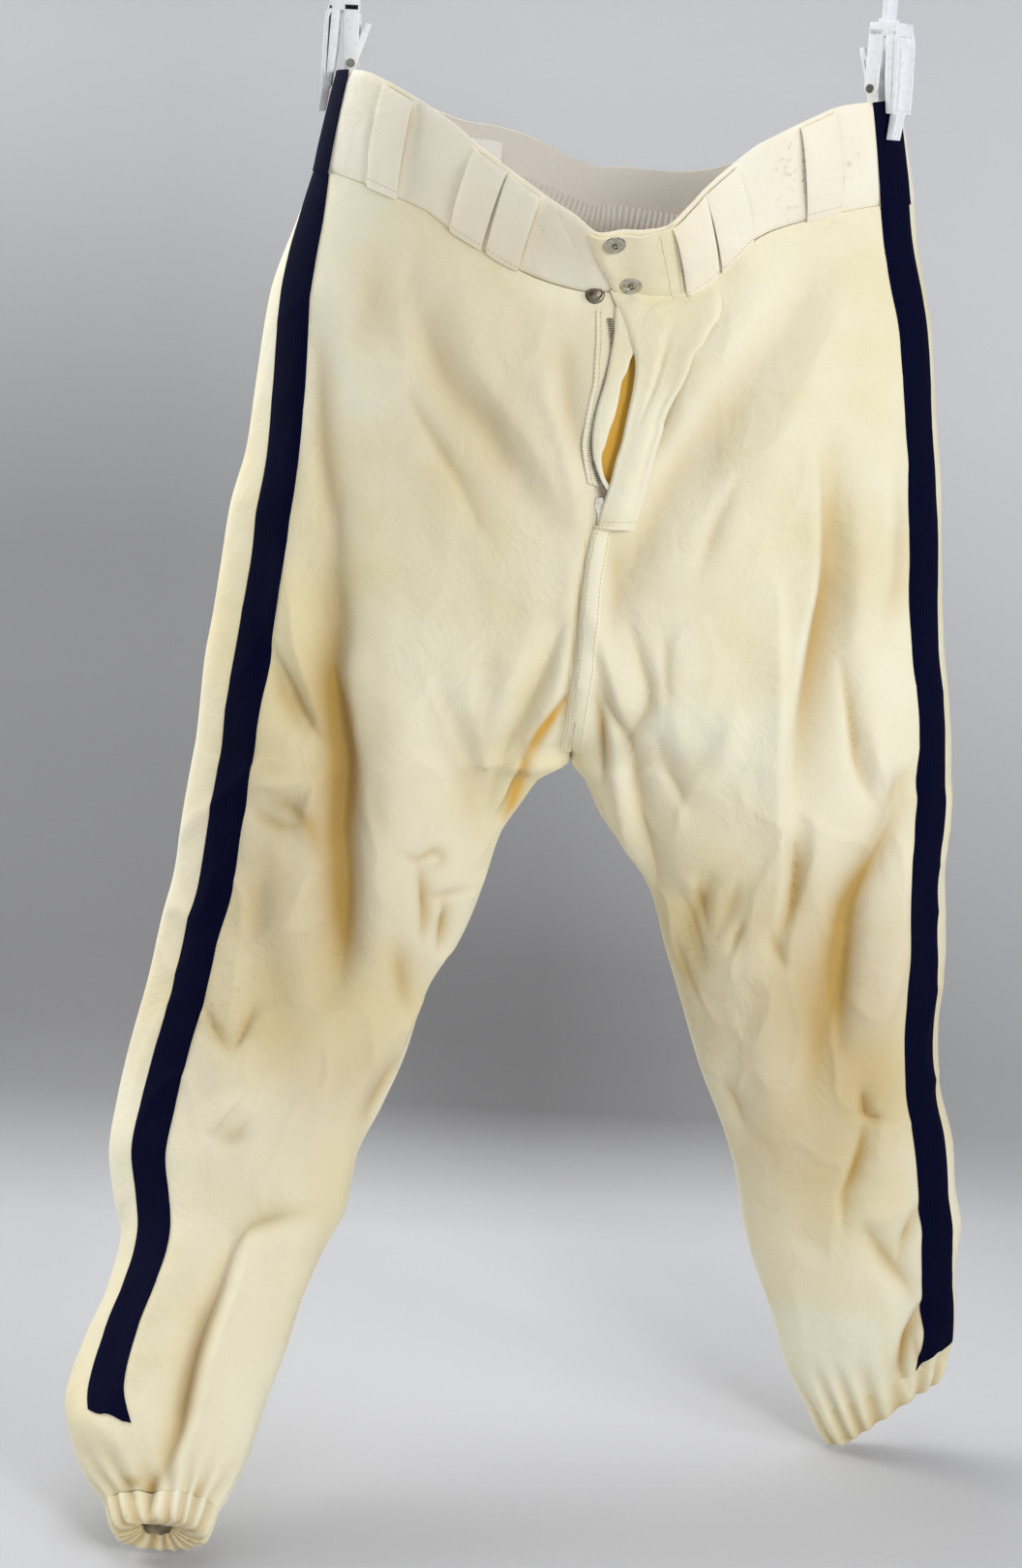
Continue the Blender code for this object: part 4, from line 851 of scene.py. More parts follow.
def add_node(tree: bpy.types.NodeTree, kind: str, inputs: Optional[dict] = None,
             **settings: object) -> bpy.types.Node:
    """Add a node with its settings, values and links.

    Args:
        tree: the tree that it goes in.
        kind: Blender's name for the node.
        inputs: for each input, by name or number, a value, an output socket or
            a node, which gives its first output.
        settings: properties of the node.

    Returns:
        The node.
    """
    made = tree.nodes.new(kind)
    for key, value in settings.items():
        setattr(made, key, value)
    for key, value in (inputs or {}).items():
        if isinstance(value, bpy.types.Node):
            value = value.outputs[0]
        if isinstance(value, bpy.types.NodeSocket):
            tree.links.new(value, made.inputs[key])
        else:
            made.inputs[key].default_value = value
    return made


def new_material(name: str, **values: object) -> tuple[bpy.types.Material, bpy.types.Node]:
    """A Principled material with plain values on its shader's own sockets.

    Args:
        name: the material's name.
        values: socket values, with spaces in their names as underscores.

    Returns:
        The material and its shader.
    """
    made = bpy.data.materials.new(name)
    made.use_nodes = True
    shader = made.node_tree.nodes["Principled BSDF"]
    for key, value in values.items():
        shader.inputs[key.replace("_", " ")].default_value = value
    return made, shader


@dataclass(frozen=True)
class KnitFinish:
    """Polyester double knit, knitted and washed many times.

    It is matt with a soft bloom at grazing angles; its fine ribs run down the
    leg.  Age has yellowed it unevenly; its folds are painted darker and yellower,
    partly age's yellowing and partly painted shade, and where light shines
    through the cloth a warm glow is painted.
    """

    name: str = "cream_double_knit"
    lit: str = "#F4EED3"
    aged: str = "#ECE0B5"
    # fold is painted shade with age's yellowing; glow is painted light through the cloth
    fold: str = "#B9933F"
    glow: str = "#E0B04A"
    soil: str = "#6E5526"
    wale_mm: float = 1.1        # one rib of the knit
    course_mm: float = 0.9      # one row of stitches
    patch_mm: float = 142.857143    # a yellowed patch
    rumple_mm: float = 45.454545    # a small wave of the cloth
    rumple_height: float = 0.006    # in metres
    speck_mm: float = 4.7619048     # a speck of dirt
    fold_yellowing_and_shade_share: float = 0.92    # how far the deepest fold takes its colour

    def build(self) -> bpy.types.Material:
        """Make the material's nodes.

        Returns:
            The material.
        """
        made, shader = new_material(self.name, Roughness=0.92, Sheen_Weight=0.25,
                                    Sheen_Roughness=0.45, Specular_IOR_Level=0.25)
        tree = made.node_tree
        place = add_node(tree, "ShaderNodeTexCoord").outputs["Object"]
        trough, glow, stain = (
            add_node(tree, "ShaderNodeAttribute", attribute_name=name).outputs["Fac"]
            for name in ("trough", "glow", "stain"))
        patch = add_node(tree, "ShaderNodeTexNoise", {
            "Vector": place, "Scale": 1000 / self.patch_mm, "Detail": 3.0, "Roughness": 0.55})
        patch = add_node(tree, "ShaderNodeMapRange", {0: patch, 1: 0.42, 2: 0.68})
        fold = add_node(tree, "ShaderNodeMapRange", {0: trough, 4: self.fold_yellowing_and_shade_share})
        speck = add_node(tree, "ShaderNodeTexNoise", {
            "Vector": place, "Scale": 1000 / self.speck_mm, "Detail": 4.0, "Roughness": 0.7})
        speck = add_node(tree, "ShaderNodeMapRange", {0: speck, 1: 0.56, 2: 0.72})
        dirt = add_node(tree, "ShaderNodeMath", {0: stain, 1: speck}, operation="MULTIPLY")
        # layers: yellowed patches, painted fold shade, painted glow, soil specks
        colour = linear(self.lit)
        for share, tone in ((patch, self.aged), (fold, self.fold), (glow, self.glow),
                            (dirt, self.soil)):
            colour = add_node(tree, "ShaderNodeMix", {0: share, 6: colour, 7: linear(tone)},
                              data_type="RGBA").outputs[2]
        cloth = add_node(tree, "ShaderNodeUVMap", uv_map="cloth")
        knit = add_node(tree, "ShaderNodeMapping", {
            0: cloth, 3: (1 / self.wale_mm, 1 / self.course_mm, 1.0)})
        wales = add_node(tree, "ShaderNodeTexWave", {"Vector": knit, "Scale": RIB_SCALE},
                         wave_type="BANDS", bands_direction="X").outputs["Fac"]
        fuzz = add_node(tree, "ShaderNodeTexNoise", {"Vector": knit, "Scale": 1.0, "Detail": 2.0})
        relief = add_node(tree, "ShaderNodeMath", {0: wales, 1: fuzz}, operation="ADD")
        waves = add_node(tree, "ShaderNodeTexNoise", {
            "Vector": place, "Scale": 1000 / self.rumple_mm, "Detail": 5.0, "Roughness": 0.6,
            "Distortion": 0.7})
        rumple = add_node(tree, "ShaderNodeBump", {
            "Strength": 0.45, "Distance": self.rumple_height, "Height": waves})
        bump = add_node(tree, "ShaderNodeBump", {
            "Strength": 0.22, "Distance": FIBRE, "Height": relief, "Normal": rumple})
        grain = add_node(tree, "ShaderNodeMapRange", {0: fuzz, 3: 0.94, 4: 1.03})
        grey = add_node(tree, "ShaderNodeCombineColor", {0: grain, 1: grain, 2: grain})
        colour = add_node(tree, "ShaderNodeMix", {0: 1.0, 6: colour, 7: grey},
                          data_type="RGBA", blend_type="MULTIPLY").outputs[2]
        tree.links.new(colour, shader.inputs["Base Color"])
        tree.links.new(bump.outputs[0], shader.inputs["Normal"])
        return made


@dataclass(frozen=True)
class RibFinish:
    """A ribbed woven or knitted tape: ribs along its length, a matt surface."""

    name: str
    crest: str
    groove: str
    rib_mm: float
    roughness: float = 0.85
    sheen: float = 0.15
    shine: float = 0.3

    def build(self) -> bpy.types.Material:
        """Make the material's nodes.

        Returns:
            The material.
        """
        made, shader = new_material(self.name, Roughness=self.roughness,
                                    Sheen_Weight=self.sheen, Sheen_Roughness=0.5,
                                    Specular_IOR_Level=self.shine)
        tree = made.node_tree
        cloth = add_node(tree, "ShaderNodeUVMap", uv_map="cloth")
        scaled = add_node(tree, "ShaderNodeMapping", {0: cloth, 3: (1 / self.rib_mm,) * 3})
        ribs = add_node(tree, "ShaderNodeTexWave", {
            "Vector": scaled, "Scale": RIB_SCALE, "Distortion": 0.4},
            wave_type="BANDS", bands_direction="X").outputs["Fac"]
        fuzz = add_node(tree, "ShaderNodeTexNoise", {"Vector": scaled, "Scale": 1.7,
                                                     "Detail": 2.0})
        both = add_node(tree, "ShaderNodeMath", {0: ribs, 1: fuzz}, operation="MULTIPLY")
        share = add_node(tree, "ShaderNodeMapRange", {0: both, 1: 0.1, 2: 0.55})
        colour = add_node(tree, "ShaderNodeMix", {
            0: share, 6: linear(self.groove), 7: linear(self.crest)}, data_type="RGBA")
        bump = add_node(tree, "ShaderNodeBump", {"Strength": 0.4, "Distance": FIBRE,
                                                 "Height": ribs})
        tree.links.new(colour.outputs[2], shader.inputs["Base Color"])
        tree.links.new(bump.outputs[0], shader.inputs["Normal"])
        return made


@dataclass(frozen=True)
class HardFinish:
    """Moulded plastic or plated metal, with faint handling marks."""

    name: str
    colour: str
    worn: str
    roughness: float
    metallic: float = 0.0
    grain_mm: float = 3.0
    bump: float = 0.04

    def build(self) -> bpy.types.Material:
        """Make the material's nodes.

        Returns:
            The material.
        """
        made, shader = new_material(self.name, Metallic=self.metallic)
        tree = made.node_tree
        place = add_node(tree, "ShaderNodeTexCoord").outputs["Object"]
        marks = add_node(tree, "ShaderNodeTexNoise", {
            "Vector": place, "Scale": 1000 / self.grain_mm, "Detail": 4.0})
        share = add_node(tree, "ShaderNodeMapRange", {0: marks, 1: 0.45, 2: 0.8})
        colour = add_node(tree, "ShaderNodeMix", {
            0: share, 6: linear(self.colour), 7: linear(self.worn)}, data_type="RGBA")
        rough = add_node(tree, "ShaderNodeMapRange", {
            0: marks, 3: self.roughness * 0.8, 4: self.roughness * 1.3})
        bump = add_node(tree, "ShaderNodeBump", {"Strength": self.bump, "Distance": FIBRE,
                                                 "Height": marks})
        tree.links.new(colour.outputs[2], shader.inputs["Base Color"])
        tree.links.new(rough.outputs[0], shader.inputs["Roughness"])
        tree.links.new(bump.outputs[0], shader.inputs["Normal"])
        return made


@dataclass
class Wardrobe:
    """Every finish of the pants, the clips and the hanger."""

    knit: bpy.types.Material
    band: bpy.types.Material
    braid: bpy.types.Material
    elastic: bpy.types.Material
    tape: bpy.types.Material
    thread: bpy.types.Material
    label: bpy.types.Material
    nickel: bpy.types.Material
    zip_metal: bpy.types.Material
    plastic: bpy.types.Material
    chrome: bpy.types.Material

    @classmethod
    def make(cls) -> "Wardrobe":
        """Build each finish once.

        Returns:
            The wardrobe.
        """
        return cls(
            knit=KnitFinish().build(),
            # the same knit, folded double on the band, in a whiter cream
            band=KnitFinish("cream_band_knit", "#FBF5E2", "#F6ECCF").build(),
            # flat knitted polyester braid: nearly black blue, with a low bloom
            braid=RibFinish("navy_knitted_braid", "#060930", "#020318", 2.2, 0.9, 0.01,
                            0.08).build(),
            # woven elastic with rubber cores: a flat, ribbed grey cream
            elastic=RibFinish("woven_waist_elastic", "#E0DAD2", "#C9C1B6", 1.2).build(),
            # woven cotton tape, washed: a dull, dry ochre cream
            tape=RibFinish("cotton_zip_tape", "#E8DFC4", "#CDBE92", 1.0).build(),
            # spun sewing thread: a soft cream with no shine
            thread=RibFinish("polyester_thread", "#F4EFDC", "#D9CFA8", 0.6).build(),
            # plain woven satin: white with a quiet sheen
            label=RibFinish("woven_label_satin", "#F2EFEA", "#E2DDD4", 0.5, 0.6, 0.1).build(),
            # nickel-plated brass, rolled and polished: a warm grey mirror, a little worn
            nickel=HardFinish("nickel_plated_brass", "#C9C5BC", "#8F8A80", 0.22, 1.0).build(),
            # stamped brass, gone dull: brownish grey, half matt
            zip_metal=HardFinish("aged_zip_metal", "#8C8474", "#4E473B", 0.38, 1.0).build(),
            # injection-moulded polypropylene: milky white with soft highlights
            plastic=HardFinish("moulded_polypropylene", "#F3F5F7", "#E4E7EA", 0.32).build(),
            # chrome-plated steel wire: a bright, cold mirror
            chrome=HardFinish("chrome_plated_steel", "#D8D8D8", "#B9B9B9", 0.12, 1.0).build(),
        )


# ------------------------------------------------------------------ meshes
LEAST_AREA = 0.31       # smallest share of its flat rectangle that a cut may fill
CLOTH_CREASE = 50.0     # degrees up to which a wall of cloth is shaded smooth


def world(points: np.ndarray) -> np.ndarray:
    """Millimetre points in the frame's metres."""
    return (np.asarray(points, float) - (0, 0, HANG)) * MM


def link(name: str, mesh: bpy.types.Mesh, finish: bpy.types.Material) -> bpy.types.Object:
    """Put a mesh into the scene with one finish.

    Args:
        name: the piece's name.
        mesh: its mesh.
        finish: its material.

    Returns:
        The piece.
    """
    mesh.materials.clear()
    mesh.materials.append(finish)
    made = bpy.data.objects.new(name, mesh)
    bpy.context.scene.collection.objects.link(made)
    return made


def wear(piece: bpy.types.Object, slot: str, *nodes: str) -> bpy.types.Object:
    """Let a piece ride on the one body, and hide the solids it stands for.

    Args:
        piece: what rides.
        slot: not used.
        nodes: the solids that it stands for.

    Returns:
        The piece.
    """
    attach(piece, "root")
    if nodes:
        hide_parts(*nodes)
    return piece


def solids_of(name: str) -> list[str]:
    """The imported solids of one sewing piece: its own, and its lower ones."""
    return [node for node in frame["nodes"] if node == name or node.startswith(name + "_")]


def cloth_wall(name: str, outer: np.ndarray, thickness: float, finish: bpy.types.Material,
               normal: np.ndarray, ring: bool = False,
               paint: Optional[dict[str, np.ndarray]] = None) -> bpy.types.Object:
    """A closed cloth wall, built inwards from a grid of its outer points.

    Args:
        name: the piece's name.
        outer: points in millimetres, rows by columns.
        thickness: of the wall.
        finish: its material.
        normal: outward unit vectors, one for each point.
        ring: whether the columns close on themselves.
        paint: named values from 0 to 1 for the material, one grid each.

    Returns:
        The piece, with a UV map of cloth distances in millimetres.
    """
    rows, cols = outer.shape[:2]
    inner = outer - normal * thickness
    verts = world(np.concatenate([outer.reshape(-1, 3), inner.reshape(-1, 3)]))
    count = rows * cols
    last = cols if ring else cols - 1
    r, c = np.meshgrid(np.arange(rows - 1), np.arange(last), indexing="ij")
    a = (r * cols + c).ravel()
    b = (r * cols + (c + 1) % cols).ravel()
    e = ((r + 1) * cols + (c + 1) % cols).ravel()
    f = ((r + 1) * cols + c).ravel()
    du = outer[:-1, 1:] - outer[:-1, :-1]
    dv = outer[1:, :-1] - outer[:-1, :-1]
    turn = np.sum(np.cross(du, dv) * normal[:-1, :-1]) > 0
    quad = np.stack([a, b, e, f] if turn else [f, e, b, a], axis=1)
    faces = [quad, count + quad[:, ::-1]]
    top = np.arange(last)
    for row, up in ((0, True), (rows - 1, False)):
        p, q = row * cols + top, row * cols + (top + 1) % cols
        rim = np.stack([q, p, count + p, count + q], axis=1)
        faces.append(rim if up == turn else rim[:, ::-1])
    if not ring:
        down = np.arange(rows - 1)
        for col, near in ((0, True), (cols - 1, False)):
            p, q = down * cols + col, (down + 1) * cols + col
            rim = np.stack([p, q, count + q, count + p], axis=1)
            faces.append(rim if near == turn else rim[:, ::-1])
    faces = np.concatenate(faces)
    mesh = bpy.data.meshes.new(name)
    mesh.from_pydata(verts.tolist(), [], faces.tolist())
    step_u = np.linalg.norm(np.diff(outer, axis=1), axis=2)
    step_v = np.linalg.norm(np.diff(outer, axis=0), axis=2)
    u = np.concatenate([np.zeros((rows, 1)), np.cumsum(step_u, axis=1)], axis=1)
    v = np.concatenate([np.zeros((1, cols)), np.cumsum(step_v, axis=0)], axis=0)
    uv = np.tile(np.stack([u.ravel(), v.ravel()], axis=1), (2, 1))
    layer = mesh.uv_layers.new(name="cloth")
    layer.data.foreach_set("uv", uv[faces.ravel()].ravel())
    for key, values in (paint or {}).items():
        store = mesh.attributes.new(key, "FLOAT", "POINT")
        store.data.foreach_set("value", np.tile(values.ravel(), 2).astype(np.float32))
    mesh.polygons.foreach_set("use_smooth", np.ones(len(faces), bool))
    mesh.set_sharp_from_angle(angle=math.radians(CLOTH_CREASE))
    mesh.update()
    return link(name, mesh, finish)


def knit_paint(grid: np.ndarray, **given: np.ndarray) -> dict[str, np.ndarray]:
    """What the knit's material reads: 0 everywhere, but for what is given."""
    blank = np.zeros(grid.shape[:2])
    return {"trough": blank, "glow": blank, "stain": blank, **given}


def declare(piece: bpy.types.Object, cut: np.ndarray) -> bpy.types.Object:
    """Declare a sheet of cloth by the flat size of a grid of points.

    Args:
        piece: the sheet.
        cut: its unfolded outer face in millimetres.

    Returns:
        The piece.
    """
    wide = np.linalg.norm(np.diff(cut, axis=1), axis=2).sum(axis=1).max() * MM
    tall = np.linalg.norm(np.diff(cut, axis=0), axis=2).sum(axis=0).max() * MM
    du, dv = np.diff(cut, axis=1)[:-1], np.diff(cut, axis=0)[:, :-1]
    area = float(np.linalg.norm(np.cross(du, dv), axis=2).sum()) * MM * MM
    area = min(max(area, LEAST_AREA * wide * tall), wide * tall)
    LOG.info("%s is cut %.0f x %.0f mm, %.4f m2", piece.name, wide / MM, tall / MM, area)
    return piece


def plain_mesh(name: str, verts: Sequence, faces: Sequence, finish: bpy.types.Material,
               smooth: float = 40.0) -> bpy.types.Object:
    """A closed mesh from millimetre points, smooth up to an angle in degrees.

    Args:
        name: the piece's name.
        verts: points in millimetres.
        faces: point numbers of each face.
        finish: its material.
        smooth: the angle.

    Returns:
        The piece.
    """
    mesh = bpy.data.meshes.new(name)
    mesh.from_pydata(world(np.array(verts)).tolist(), [], [tuple(f) for f in faces])
    mesh.polygons.foreach_set("use_smooth", np.ones(len(mesh.polygons), bool))
    mesh.set_sharp_from_angle(angle=math.radians(smooth))
    return link(name, mesh, finish)


def turned(centre: np.ndarray, axis: np.ndarray, profile: Path,
           steps: int = 32) -> tuple[list, list]:
    """Turn a profile of (radius, height) round an axis, from pole to pole.

    Args:
        centre: where height is 0.
        axis: unit vector of the turning axis.
        profile: rising points; the first and last lie on the axis.
        steps: round the axis.

    Returns:
        Points and faces of a closed shape.
    """
    axis = np.asarray(axis, float)
    side = np.cross(axis, (0, 0, 1.0) if abs(axis[2]) < 0.9 else (1.0, 0, 0))
    side /= np.linalg.norm(side)
    other = np.cross(axis, side)
    verts = [centre + axis * profile[0][1]]
    for radius, height in profile[1:-1]:
        for k in range(steps):
            a = 2 * math.pi * k / steps
            verts.append(centre + axis * height
                         + radius * (math.cos(a) * side + math.sin(a) * other))
    verts.append(centre + axis * profile[-1][1])
    faces = []
    rings = len(profile) - 2
    for k in range(steps):
        n = (k + 1) % steps
        faces.append((0, 1 + n, 1 + k))
        for r in range(rings - 1):
            low, high = 1 + r * steps, 1 + (r + 1) * steps
            faces.append((low + k, low + n, high + n, high + k))
        top = 1 + (rings - 1) * steps
        faces.append((top + k, top + n, len(verts) - 1))
    return verts, faces


def wire(path: np.ndarray, radius: float, sides: int = 8) -> tuple[list, list]:
    """Points and faces of a round wire along a path, with closed ends.

    Args:
        path: points along its middle.
        radius: of the wire.
        sides: round it.

    Returns:
        Points and faces.
    """
    tangent = np.gradient(path, axis=0)
    tangent /= np.linalg.norm(tangent, axis=1, keepdims=True)
    side = np.cross(tangent[0], (0.1, 0.9, 0.3))
    side /= np.linalg.norm(side)
    verts, faces = [], []
    for point, t in zip(path, tangent):
        side = side - t * np.dot(side, t)
        side /= np.linalg.norm(side)
        other = np.cross(t, side)
        for k in range(sides):
            a = 2 * math.pi * k / sides
            verts.append(point + radius * (math.cos(a) * side + math.sin(a) * other))
    for i in range(len(path) - 1):
        for k in range(sides):
            n = (k + 1) % sides
            a, b = i * sides, (i + 1) * sides
            faces.append((a + k, a + n, b + n, b + k))
    faces.append(tuple(range(sides))[::-1])
    faces.append(tuple(range(len(verts) - sides, len(verts))))
    return verts, faces


@dataclass
class Moulding:
    """Moulded plastic: bevelled prisms drawn side-on, joined into one piece."""

    origin: np.ndarray
    out: np.ndarray
    verts: list = field(default_factory=list)
    faces: list = field(default_factory=list)

    def add(self, outline: Path, low: float, high: float, bevel: float = 0.7) -> None:
        """Add a prism of an outline of (out, up) between two places along.

        Args:
            outline: the side view in millimetres.
            low: where it starts along the clip's width.
            high: where it ends.
            bevel: radius of its edges.
        """
        along = np.cross((0.0, 0.0, 1.0), self.out)
        shape = bmesh.new()
        for at in (low, high):
            for u, z in outline:
                shape.verts.new(self.origin + self.out * u + along * at + (0, 0, z))
        shape.verts.ensure_lookup_table()
        n = len(outline)
        shape.faces.new([shape.verts[i] for i in range(n)])
        shape.faces.new([shape.verts[2 * n - 1 - i] for i in range(n)])
        for i in range(n):
            k = (i + 1) % n
            shape.faces.new([shape.verts[i], shape.verts[n + i], shape.verts[n + k],
                             shape.verts[k]])
        bmesh.ops.recalc_face_normals(shape, faces=shape.faces)
        bmesh.ops.bevel(shape, geom=list(shape.edges), offset=bevel, segments=2,
                        profile=0.6, affect="EDGES", clamp_overlap=True)
        bmesh.ops.triangulate(shape, faces=[f for f in shape.faces if len(f.verts) > 4])
        shape.verts.index_update()
        base = len(self.verts)
        self.verts += [np.array(v.co) for v in shape.verts]
        self.faces += [tuple(base + v.index for v in f.verts) for f in shape.faces]
        shape.free()

    def finish(self, name: str, material: bpy.types.Material) -> bpy.types.Object:
        """Join all prisms into the piece."""
        return plain_mesh(name, self.verts, self.faces, material, 35.0)


@dataclass(frozen=True)
class Repeat:
    """A small shape set along paths by a Geometry Nodes tree."""

    bead: Bead
    spacing: float
    length: float
    width: float
    height: float
    jitter: float = 0.06
    seed: int = 7

    def tree(self) -> bpy.types.NodeTree:
        """Build the tree, with named inputs for every size.

        Returns:
            The tree.
        """
        tree = bpy.data.node_groups.new(f"{self.bead.value}_along_path", "GeometryNodeTree")
        for name, kind in (("Geometry", "Geometry"), ("Spacing", "Float"), ("Length", "Float"),
                           ("Width", "Float"), ("Height", "Float"), ("Jitter", "Float"),
                           ("Seed", "Int"), ("Material", "Material")):
            tree.interface.new_socket(name=name, in_out="INPUT",
                                      socket_type=f"NodeSocket{kind}")
        tree.interface.new_socket(name="Geometry", in_out="OUTPUT",
                                  socket_type="NodeSocketGeometry")

        given = add_node(tree, "NodeGroupInput").outputs
        curve = add_node(tree, "GeometryNodeMeshToCurve", {0: given["Geometry"]})
        even = add_node(tree, "GeometryNodeResampleCurve",
                        {"Curve": curve, "Length": given["Spacing"]}, mode="LENGTH")
        facing = add_node(tree, "GeometryNodeInputNamedAttribute", {"Name": "facing"},
                          data_type="FLOAT_VECTOR")
        tangent = add_node(tree, "GeometryNodeInputTangent")
        turn = add_node(tree, "FunctionNodeAxesToRotation", {0: facing, 1: tangent},
                        primary_axis="Z", secondary_axis="X")
        low, high = (add_node(tree, "ShaderNodeMath", {0: 1.0, 1: given["Jitter"]},
                              operation=way) for way in ("SUBTRACT", "ADD"))
        vary = add_node(tree, "FunctionNodeRandomValue",
                        {2: low, 3: high, "Seed": given["Seed"]}, data_type="FLOAT")
        size = add_node(tree, "ShaderNodeCombineXYZ",
                        {0: given["Length"], 1: given["Width"], 2: given["Height"]})
        varied = add_node(tree, "ShaderNodeVectorMath", {0: size, "Scale": vary.outputs[1]},
                          operation="SCALE")
        if self.bead is Bead.TOOTH:
            shape = add_node(tree, "GeometryNodeMeshCube", {"Size": (1, 1, 1)})
        elif self.bead is Bead.RIB:
            rod = add_node(tree, "GeometryNodeMeshCylinder",
                           {"Vertices": 8, "Radius": 0.5, "Depth": 1.0})
            shape = add_node(tree, "GeometryNodeTransform",
                             {0: rod, "Rotation": (math.pi / 2, 0, 0)})
        else:
            shape = add_node(tree, "GeometryNodeMeshUVSphere",
                             {"Segments": 6, "Rings": 4, "Radius": 0.5})
        placed = add_node(tree, "GeometryNodeInstanceOnPoints", {
            "Points": even, "Instance": shape, "Rotation": turn, "Scale": varied})
        real = add_node(tree, "GeometryNodeRealizeInstances", {0: placed})
        smooth = add_node(tree, "GeometryNodeSetShadeSmooth",
                          {0: real, "Shade Smooth": self.bead is not Bead.TOOTH})
        dressed = add_node(tree, "GeometryNodeSetMaterial",
                           {0: smooth, "Material": given["Material"]})
        add_node(tree, "NodeGroupOutput", {0: dressed})
        return tree

    def along(self, name: str, runs: Sequence[tuple[np.ndarray, np.ndarray]],
              finish: bpy.types.Material) -> bpy.types.Object:
        """Set the shape along some paths and make the result a plain mesh.

        Args:
            name: the piece's name.
            runs: points and facings of each path, in millimetres.
            finish: the material.

        Returns:
            The piece.
        """
        verts, edges, facing = [], [], []
        for points, normals in runs:
            base = len(verts)
            verts.extend(world(points).tolist())
            facing.extend(normals.tolist())
            edges.extend((base + i, base + i + 1) for i in range(len(points) - 1))
        guide = bpy.data.meshes.new(name + "_guide")
        guide.from_pydata(verts, edges, [])
        store = guide.attributes.new("facing", "FLOAT_VECTOR", "POINT")
        store.data.foreach_set("vector", np.array(facing, np.float32).ravel())
        holder = bpy.data.objects.new(name + "_guide", guide)
        bpy.context.scene.collection.objects.link(holder)
        change = holder.modifiers.new("repeat", "NODES")
        change.node_group = self.tree()
        values = {"Spacing": self.spacing * MM, "Length": self.length * MM,
                  "Width": self.width * MM, "Height": self.height * MM,
                  "Jitter": self.jitter, "Seed": self.seed, "Material": finish}
        for item in change.node_group.interface.items_tree:
            if item.item_type == "SOCKET" and item.in_out == "INPUT" and item.name in values:
                change[item.identifier] = values[item.name]
        graph = bpy.context.evaluated_depsgraph_get()
        mesh = bpy.data.meshes.new_from_object(holder.evaluated_get(graph))
        holder.modifiers.remove(change)
        bpy.data.objects.remove(holder, do_unlink=True)
        bpy.data.meshes.remove(guide)
        mesh.name = name
        return link(name, mesh, finish)


STITCHES = Repeat(Bead.STITCH, spacing=2.9, length=2.3, width=0.55, height=0.4)


def sewn(name: str, grid: np.ndarray, normal: np.ndarray, lines: Sequence,
         thread: bpy.types.Material, lift: float = STITCH_LIFT) -> bpy.types.Object:
    """Rows of stitches on a piece.

    Args:
        name: the piece's name, without what it ends in.
        grid: its outer points.
        normal: their normals.
        lines: an index of the grid for each row of stitches.
        thread: the finish.
        lift: how far the stitches stand off.

    Returns:
        The stitches.
    """
    runs = [(grid[line] + normal[line] * lift, normal[line]) for line in lines]
    return wear(STITCHES.along(f"{name}_stitches", runs, thread), "cream_knit")


